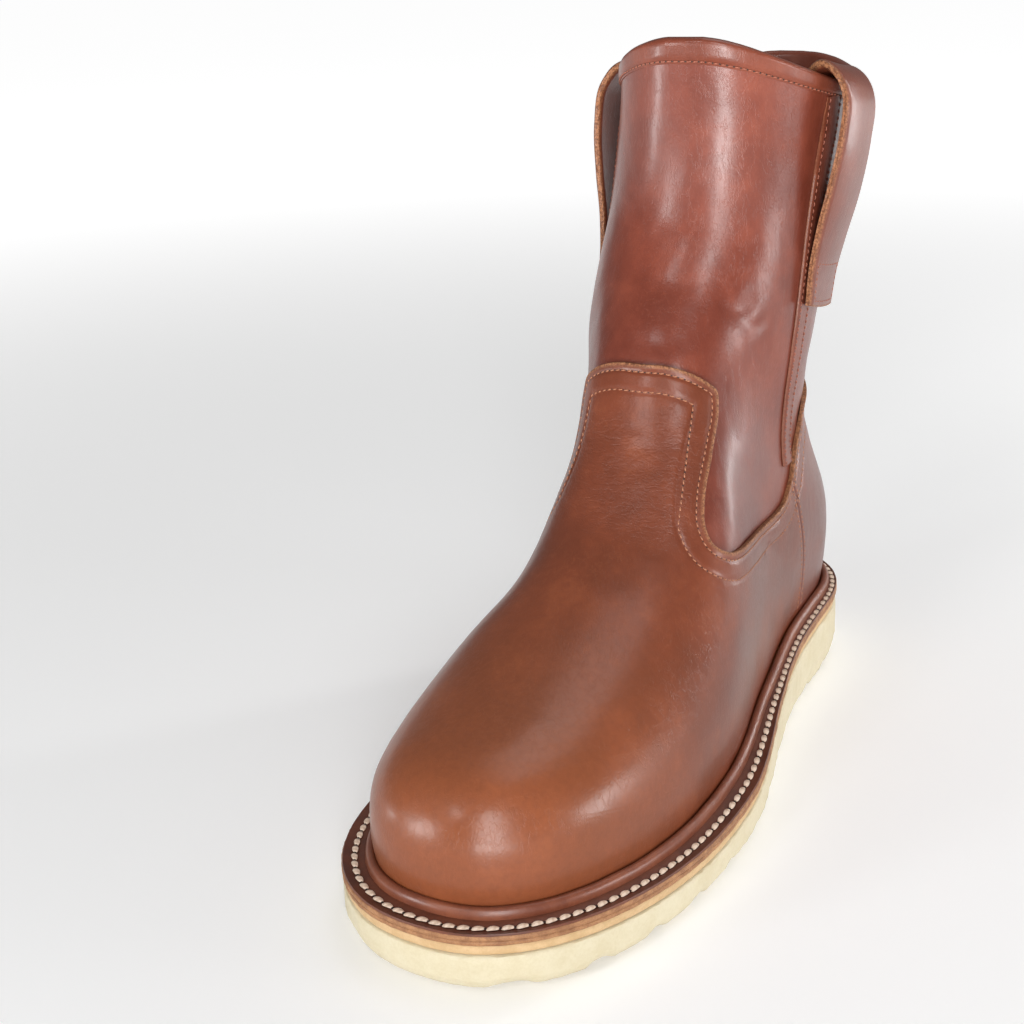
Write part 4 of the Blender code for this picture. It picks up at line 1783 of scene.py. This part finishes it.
@dataclass
class PullLoop:
    """A doubled strap that rises off the shaft's side, passes over the rim and is held inside."""

    node: str
    side: float
    at: float
    width: float = 0.026
    thickness: float = 0.0030
    rows: int = 130
    across: int = 26
    front: Tuple[float, ...] = (
        0.0038, 0.0038, 0.0052, 0.0088, 0.0110, 0.0100, 0.0054, -0.0008, -0.0058, -0.0062, -0.0062
    )
    back: Tuple[float, ...] = (
        0.0038, 0.0038, 0.0050, 0.0078, 0.0090, 0.0084, 0.0048, -0.0008, -0.0058, -0.0062, -0.0062
    )
    up: Tuple[float, ...] = (
        -0.080, -0.066, -0.055, -0.036, -0.018, -0.004, 0.0028, 0.0052, 0.0008, -0.014, -0.034
    )
    shoulder: float = 0.0011
    rounding: float = 0.0006
    wall_across: Tuple[float, ...] = (0.506, 0.497, 0.508)
    wall_shift: Tuple[float, ...] = (0.45, 0.0, -0.45)
    fuzz: float = 0.00022
    rim_rawness: float = 0.9
    box_first: int = 2
    box_depth: int = 13
    box_half: float = 0.40
    box_points: int = 12
    sunk: float = 0.0001

    def middle(self) -> Tuple[Array, Array, Array]:
        """The strap's middle line, evenly spaced.

        Returns:
            Both edges' distances off the leather, and the height from the rim.
        """
        line = np.stack([self.front, self.back, self.up], -1)
        at = lengths(line)
        t = np.linspace(0, at[-1], 400)
        fine = respaced(np.stack([smooth(t, at, line[:, k]) for k in range(3)], -1), self.rows)
        return fine[:, 0], fine[:, 1], fine[:, 2]

    def face(self, shift: Array, across: Array) -> Tuple[Array, Array]:
        """Points of the strap at distances off its middle sheet.

        Args:
            shift: Distance square to the strap, for every column (n) or point (rows, n).
            across: Place across the strap, from -0.5 to 0.5 (n).

        Returns:
            Points (rows, n, 3) and outward directions there.
        """
        front, rear, up = self.middle()
        off = (front + rear) / 2
        step = np.hypot(np.gradient(off), np.gradient(up))
        out_off, out_up = np.gradient(up) / step, -np.gradient(off) / step
        share = across[None, :] * self.side
        y = self.at + share * self.width
        off = front[:, None] + (rear - front)[:, None] * (share + 0.5)
        rim = LAST.level(np.ones_like(y), y)
        rise = up[:, None] + out_up[:, None] * shift
        away = off + out_off[:, None] * shift
        z = rim + np.minimum(rise, 0.0)
        yy = y + np.zeros_like(z)
        bare = np.stack([LAST.side_x(self.side, yy, z), yy, z], -1)
        normal = LAST.normals(bare)
        points = bare + normal * away[..., None]
        points[..., 2] += np.maximum(rise, 0.0)
        lift = np.zeros_like(points)
        lift[..., 2] = 1.0
        out = unit(normal * out_off[:, None, None] + lift * out_up[:, None, None])
        return points, out

    def build(self) -> List[Row]:
        """Makes the strap.

        The cross-section is flat above and below with rough, slightly swollen cut edges that show the two
        layers; it is carried along the middle line.

        Returns:
            Its rows of stitches.
        """
        share = np.linspace(-0.5, 0.5, self.across)
        half = self.thickness / 2
        near = np.clip((0.5 - np.abs(share)) * self.width / self.shoulder, 0, 1)
        round_off = half - self.rounding * (1 - np.sqrt(np.clip(1 - (1 - near) ** 2, 0, 1)))
        top, _ = self.face(round_off, share)
        base, _ = self.face(-round_off, share)
        edges = []
        for sign in (1.0, -1.0):
            wall, _ = self.face(np.array(self.wall_shift) * half * sign, np.array(self.wall_across) * sign)
            wall[..., 1] += self.fuzz * wobble(wall * 5, 0.018, 41) * sign * self.side
            edges.append(wall)
        rings = np.concatenate([top, edges[0], base[:, ::-1], edges[1]], 1)
        edge = np.zeros(rings.shape[:2])
        n = self.across
        edge[:, n:n + 3], edge[:, -3:] = 1.0, 1.0
        edge[:, [0, n - 1, n + 3, 2 * n + 2]] = self.rim_rawness
        edge[:1] = 1.0
        if self.side < 0:
            rings, edge = rings[:, ::-1], edge[:, ::-1]
        obj = strip_piece("strap_" + self.node, rings, {"edge": edge})
        SHELF.dress(obj, TRIM_LEATHER)
        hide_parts(self.node)
        return self.box_stitch()

    def box_stitch(self) -> List[Row]:
        """The square of stitches that holds the strap's foot.

        Returns:
            Its two sides, its foot and its head.
        """
        across = np.linspace(-self.box_half, self.box_half, self.box_points)
        points, out = self.face(np.full(self.box_points, self.thickness / 2 - self.sunk), across)
        first, last = self.box_first, self.box_first + self.box_depth
        sides = [(points[first:last + 1, k], out[first:last + 1, k], False) for k in (0, -1)]
        return sides + [(points[k], out[k], False) for k in (first, last)]


@dataclass
class Margin:
    """How far the sole's edge stands outside the bare upper's feather line."""

    table: Columns = Columns(at=(0.0, 0.35, 0.60, 1.0), out=(0.0073, 0.0073, 0.0115, 0.0118))

    def read(self, loop: Array) -> Array:
        """The margin at each point of a loop, the overlay's leather included."""
        at, out = self.table.columns["at"], self.table.columns["out"]
        return np.interp(LAST.along(loop[:, 1]), at, out) + LAST.overlay + LAST.gap


MARGIN = Margin()


@dataclass
class Welt:
    """The welt: a raised bead against the leather, a stitched groove and a flat lip with a cut edge."""

    thickness: float = 0.0040
    bead_height: float = 0.0036
    bead_width: float = 0.0038
    groove_at: float = 0.46
    groove: float = 0.0009
    groove_width: float = 0.26
    stitch_rise: float = 0.0006
    seat: float = 0.0012
    floor: float = 0.0022
    lip_round: float = 0.0006
    lip_lift: float = 0.00035
    back: float = 0.0003
    columns: int = 560
    edge_share: Tuple[float, ...] = (0.02, 0.12, 0.30, 0.46, 0.50, 0.54, 0.72, 0.90, 1.0)
    edge_out: Tuple[float, ...] = (
        -0.0003, 0.0001, 0.0002, 0.0001, -0.0004, 0.0001, 0.0002, 0.0001, -0.0003
    )
    edge_top: float = 0.0002
    edge_depth: float = 0.0016

    def lines(self) -> Tuple[Array, Array, Array]:
        """The welt's three lines, all as loops of the same columns.

        Returns:
            Feather line, foot of the bead and outer edge.
        """
        low = LAST.feather(self.columns)
        clear = 2 * LAST.gap + LAST.overlay
        inner = plan_offset(low, clear)
        foot = plan_offset(low, clear + self.bead_width)
        edge = plan_offset(low, MARGIN.read(low))
        return inner, foot, edge

    def build(self) -> None:
        """Bead and lip as two closed rings, then the stitches.

        The bead's profile is a half ellipse on a short wall. The lip's top falls into a bell-shaped
        groove near the bead, and its outer edge is rounded.
        """
        inner, foot, edge = self.lines()
        top = LAST.welt_top(inner[:, 1])
        a = np.linspace(math.pi * 0.96, 0.0, 13)[:, None]
        across = 0.5 + 0.5 * np.cos(a)
        rise = np.sin(a) ** 0.75 * self.bead_height
        plan = inner[None] + (foot - inner)[None] * across[..., None]
        uneven = 0.00010 * wobble(plan, 0.030, 51)
        dome = np.stack([plan[..., 0], plan[..., 1], top + rise + uneven], -1)
        seat = [at_height(foot, top - self.seat), at_height(inner, top - self.seat)]
        obj = ring_piece("welt_bead", np.concatenate([dome, np.stack(seat)]))
        SHELF.dress(obj, WELT_BEAD)
        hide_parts("welt")
        s = np.concatenate([np.linspace(0, 0.86, 16), [0.91, 0.95, 0.98]])[:, None]
        plan = foot[None] + (edge - foot)[None] * s[..., None]
        dip = self.groove * np.exp(-(((s - self.groove_at) / self.groove_width) ** 2))
        dip = dip - self.lip_lift * ease(s, 0.80, 1.0)
        height = LAST.welt_top(plan[..., 1]) - dip - self.lip_round * (s > 0.97)
        flat = np.stack([plan[..., 0], plan[..., 1], height], -1)
        flat[..., 2] += 0.00008 * wobble(plan, 0.015, 52)
        low = LAST.welt_top(edge[:, 1]) - self.thickness
        back = plan_offset(edge, -self.back)
        rings = [at_height(back, low + self.back), at_height(foot, low), at_height(foot, top - self.floor)]
        SHELF.dress(ring_piece("welt_lip", np.concatenate([flat, np.stack(rings)])), WELT_LEATHER)
        self.cut_edge(edge)
        groove = foot + (edge - foot) * self.groove_at
        groove[:, 2] = LAST.welt_top(groove[:, 1]) - self.groove + self.stitch_rise
        up = np.broadcast_to(np.array([0.0, 0.0, 1.0]), groove.shape)
        WELT_STITCH.build("welt_stitches", [(groove, up, True)], WELT_THREAD, "welt")

    def cut_edge(self, edge: Array) -> None:
        """The welt's outer face: natural leather, bowed a little, with a dark line pressed along it.

        Args:
            edge: The lip's outer edge (n, 3).
        """
        top = LAST.welt_top(edge[:, 1])
        uneven = 0.00015 * wobble(edge * 3, 0.02, 61)
        rings = []
        for part, out in zip(self.edge_share, self.edge_out):
            height = top - self.edge_top - (self.thickness - self.back) * part
            rings.append(at_height(plan_offset(edge, out + uneven), height))
        inner = plan_offset(edge, -self.edge_depth)
        rings += [at_height(inner, top - self.thickness + self.back), at_height(inner, top - self.lip_round)]
        SHELF.dress(ring_piece("welt_cut_edge", np.stack(rings), bend=70.0), WELT_EDGE)


@dataclass
class Soles:
    """Midsole and the wedge: plates between two loops, closed by strips across."""

    welt: float = 0.0040
    midsole: float = 0.0032
    spring: float = 0.0020
    spring_from: float = 0.74
    lug_pitch: float = 0.0220
    lug_depth: float = 0.0020
    lug_land: float = 0.55
    tuck: float = 0.0028
    tuck_to: float = 0.35
    toe_end: float = 1.03
    pebbles: float = 0.00022
    pebble: float = 0.006
    columns: int = 560
    midsole_rows: int = 9
    side_share: Tuple[float, ...] = (0.0, 0.02, 0.06, 0.14, 0.26, 0.40, 0.55, 0.70, 0.84, 0.93, 0.98, 1.0)
    side_out: Tuple[float, ...] = (
        -0.0012, -0.0005, -0.0001, 0.0, 0.0, 0.0, 0.0, 0.0, 0.0, -0.0001, -0.0004, -0.0010
    )

    def tread(self, y: Array) -> Array:
        """Height of the tread: flat lands with scallops between, and the toe's spring.

        Args:
            y: Places along.

        Returns:
            Heights over the floor.
        """
        phase = (y / self.lug_pitch + self.lug_land / 2) % 1.0
        dip = np.clip((phase - self.lug_land) / (1 - self.lug_land), 0, 1)
        ahead = (LAST.along(y) - self.spring_from) / (self.toe_end - self.spring_from)
        return self.spring * np.clip(ahead, 0, None) ** 2 + self.lug_depth * np.sin(math.pi * dip) ** 1.2

    @staticmethod
    def plate(name: str, rings: Array) -> bpy.types.Object:
        """A plate whose first and last loops are closed by strips between opposite columns.

        Args:
            name: The piece's name.
            rings: Its loops from below up (k, n, 3).

        Returns:
            The piece.
        """
        k, n = rings.shape[:2]
        i = np.arange(n // 2)
        cap = np.stack([i, i + 1, n - i - 1, (n - i) % n], -1)
        both = np.concatenate([cap[:, ::-1], cap + (k - 1) * n])
        caps = [tuple(dict.fromkeys(face)) for face in both.tolist()]
        faces = grid_quads(k, n, False, True).tolist() + caps
        return add_mesh(name, rings.reshape(-1, 3), FaceList(faces), bend=40.0)

    def build(self) -> None:
        """Both plates."""
        base = LAST.feather(self.columns)
        edge = plan_offset(base, MARGIN.read(base))
        top = LAST.welt_top(edge[:, 1]) - self.welt - LAST.gap
        share = np.linspace(0, 1, self.midsole_rows)
        bow = -0.0011 + 0.0006 * np.sin(math.pi * share) ** 0.5
        rings = []
        for part, out in zip(share, bow):
            rings.append(at_height(plan_offset(edge, out), top - self.midsole * (1 - part)))
        obj = self.plate("midsole_layer", np.stack(rings))
        SHELF.dress(obj, MIDSOLE)
        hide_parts("midsole")
        low = plan_offset(edge, -self.tuck)
        tread = self.tread(low[:, 1])
        high = top - self.midsole - LAST.gap
        rings = []
        for part, shift in zip(self.side_share, self.side_out):
            z = tread + (high - tread) * part
            slant = self.tuck * np.clip((z - tread) / np.maximum((high - tread) * self.tuck_to, 1e-4), 0, 1)
            ring = plan_offset(edge, shift - self.tuck + slant)
            rings.append(at_height(ring, z))
        stack = np.stack(rings)
        rough = self.pebbles * wobble(stack, self.pebble, 71)
        rough[0], rough[-1] = 0.0, 0.0
        way = unit(np.stack([edge[:, 0] - base[:, 0], edge[:, 1] - base[:, 1], np.zeros(len(edge))], -1))
        obj = self.plate("wedge_outsole", stack + way[None] * rough[..., None])
        SHELF.dress(obj, CREPE)
        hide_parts("outsole")


# Light and camera


class Stance(Enum):
    """How a lamp stands: upright and facing the boot, flat on the floor, or overhead facing down."""

    UPRIGHT = "upright"
    FLAT = "flat"
    OVERHEAD = "overhead"


@dataclass(frozen=True)
class Strip:
    """A rectangular lamp: its middle by azimuth from the toe's side, distance and height; its brightness."""

    name: str
    stance: Stance
    azimuth: float
    distance: float
    height: float
    width: float
    length: float
    radiance: float


STRIPS = (
    Strip("front_upright", Stance.UPRIGHT, 30.0, 1.50, 0.66, 0.38, 1.20, 11.5),
    Strip("front_flat", Stance.FLAT, 24.0, 1.05, 0.010, 0.20, 1.10, 28.0),
    Strip("left_upright", Stance.UPRIGHT, -30.0, 1.25, 0.17, 0.22, 0.32, 18.0),
    Strip("left_high", Stance.UPRIGHT, -12.0, 1.25, 0.95, 0.30, 0.40, 9.0),
    Strip("left_flat", Stance.FLAT, -54.0, 0.90, 0.010, 0.11, 0.66, 24.0),
    Strip("right_upright", Stance.UPRIGHT, 96.0, 1.20, 0.13, 0.40, 0.24, 14.0),
    Strip("rear_upright", Stance.UPRIGHT, 143.0, 0.85, 0.30, 0.06, 0.60, 20.0),
    Strip("overhead", Stance.OVERHEAD, 150.0, 0.35, 1.30, 0.80, 0.80, 2.0),
)


@dataclass
class Studio:
    """White floor, soft lamps and the camera."""

    foot: Vector = field(default_factory=lambda: Vector((0.0, -0.03, 0.0)))
    place: Tuple[float, float, float] = (0.2185, -0.5529, 0.3031)
    azimuth: float = 29.07
    elevation: float = 21.40
    roll: float = -1.97
    focal_pixels: float = 1517.9
    shift_pixels: Tuple[float, float] = (33.4, 0.2)
    frame_pixels: float = 1024.0
    sensor: float = 36.0
    sky: float = 0.20
    glow: float = 0.80
    near_glow: float = 0.20
    near: float = 0.20
    far: float = 1.6
    floor_half: float = 8.0
    white: Tuple[Colour, Colour] = ((0.88, 0.88, 0.88), (0.90, 0.90, 0.90))

    def camera(self) -> None:
        """The photo's camera: place, direction by azimuth and elevation, roll, focal length and shift."""
        az, el, roll = (math.radians(value) for value in (self.azimuth, self.elevation, self.roll))
        back = Vector((math.sin(az) * math.cos(el), -math.cos(az) * math.cos(el), math.sin(el)))
        right = Vector((math.cos(az), math.sin(az), 0.0))
        up = back.cross(right)
        across = right * math.cos(roll) + up * math.sin(roll)
        above = up * math.cos(roll) - right * math.sin(roll)
        data = bpy.data.cameras.new("camera")
        data.sensor_width = self.sensor
        data.lens = self.focal_pixels * self.sensor / self.frame_pixels
        data.shift_x = -self.shift_pixels[0] / self.frame_pixels
        data.shift_y = self.shift_pixels[1] / self.frame_pixels
        camera = bpy.data.objects.new("camera", data)
        turn = Matrix((across, above, back)).transposed().to_4x4()
        camera.matrix_world = Matrix.Translation(Vector(self.place)) @ turn
        bpy.context.scene.collection.objects.link(camera)
        bpy.context.scene.camera = camera

    def strip(self, strip: Strip) -> None:
        """A soft rectangular lamp beside the boot or over it.

        Args:
            strip: Its name, place, size and brightness.
        """
        turn = math.radians(strip.azimuth)
        outward = Vector((math.sin(turn), -math.cos(turn), 0.0))
        across = Vector((math.cos(turn), math.sin(turn), 0.0))
        above = Vector((0.0, 0.0, 1.0))
        data = bpy.data.lights.new(strip.name, "AREA")
        data.shape = "RECTANGLE"
        data.size, data.size_y = strip.width, strip.length
        data.energy = strip.radiance * math.pi * strip.width * strip.length
        lamp = bpy.data.objects.new(strip.name, data)
        place = self.foot + outward * strip.distance + above * strip.height
        axes = {
            Stance.UPRIGHT: (across, above, outward),
            Stance.FLAT: (across, outward, -above),
            Stance.OVERHEAD: (across, -outward, above),
        }[strip.stance]
        lamp.matrix_world = Matrix.Translation(place) @ Matrix(axes).transposed().to_4x4()
        bpy.context.scene.collection.objects.link(lamp)

    def floor(self) -> None:
        """A wide white sheet that glows a little, more so far from the boot, as an overlit backdrop does."""
        r = self.floor_half
        points = np.array([[-r, -r, 0], [r, -r, 0], [r, r, 0], [-r, r, 0]], float)
        obj = add_mesh("floor", points, np.array([[0, 1, 2, 3]]))
        tree = Tree("floor_paint")
        far = tree.node("ShaderNodeVectorMath", {"operation": "LENGTH"}, {0: tree.place()}, "Value")
        paint = tree.mix(tree.noise(tree.place(), 0.5), *self.white)
        shine = tree.mix(far.step(self.near, self.far), (self.near_glow,) * 3, (1.0, 1.0, 1.0))
        obj.data.materials.append(
            tree.finish(
                Base_Color=paint, Roughness=0.9, Specular_IOR_Level=0.0,
                Emission_Color=shine, Emission_Strength=self.glow,
            )
        )

    def build(self) -> None:
        """World, floor, lamps and camera."""
        world = bpy.data.worlds.new("studio")
        world.use_nodes = True
        sky = world.node_tree.nodes["Background"]
        sky.inputs["Color"].default_value = (1.0, 1.0, 1.0, 1.0)
        sky.inputs["Strength"].default_value = self.sky
        bpy.context.scene.world = world
        bpy.context.scene.view_settings.view_transform = "Standard"
        self.floor()
        for strip in STRIPS:
            self.strip(strip)
        self.camera()


def main() -> None:
    """Builds each sub-assembly in order."""
    logging.basicConfig(level=logging.INFO, format="%(message)s")
    Studio().build()
    log.info("studio")
    Soles().build()
    log.info("soles")
    Welt().build()
    log.info("welt")
    SHELF.dress(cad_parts["insole"], LINING)
    Shaft().build()
    log.info("shaft and lining")
    vamp = Vamp()
    edge = vamp.build()
    log.info("vamp")
    counter = Counter()
    top = counter.build()
    log.info("counter")
    lift = LAST.gap + vamp.thickness - vamp.stitch_dent
    rows = [beside(edge, -distance, lift) for distance in vamp.rows_of_stitches]
    rows += [beside(top, distance, lift) for distance in counter.rows_of_stitches]
    FINE_STITCH.build("overlay_stitches", rows, TAN_THREAD, "leather")
    FINE_STITCH.build("heel_seam_stitches", counter.seam_rows(), TAN_THREAD, "leather")
    SideSeams().build()
    log.info("side seams")
    Binding().build()
    log.info("collar binding")
    loops = PullLoop("pull_loop_lateral", side=1.0, at=-0.016).build()
    loops += PullLoop("pull_loop_medial", side=-1.0, at=-0.009).build()
    FINE_STITCH.build("pull_loop_stitches", loops, BROWN_THREAD, "strap")
    log.info("pull loops")


if __name__ == "__main__":
    main()
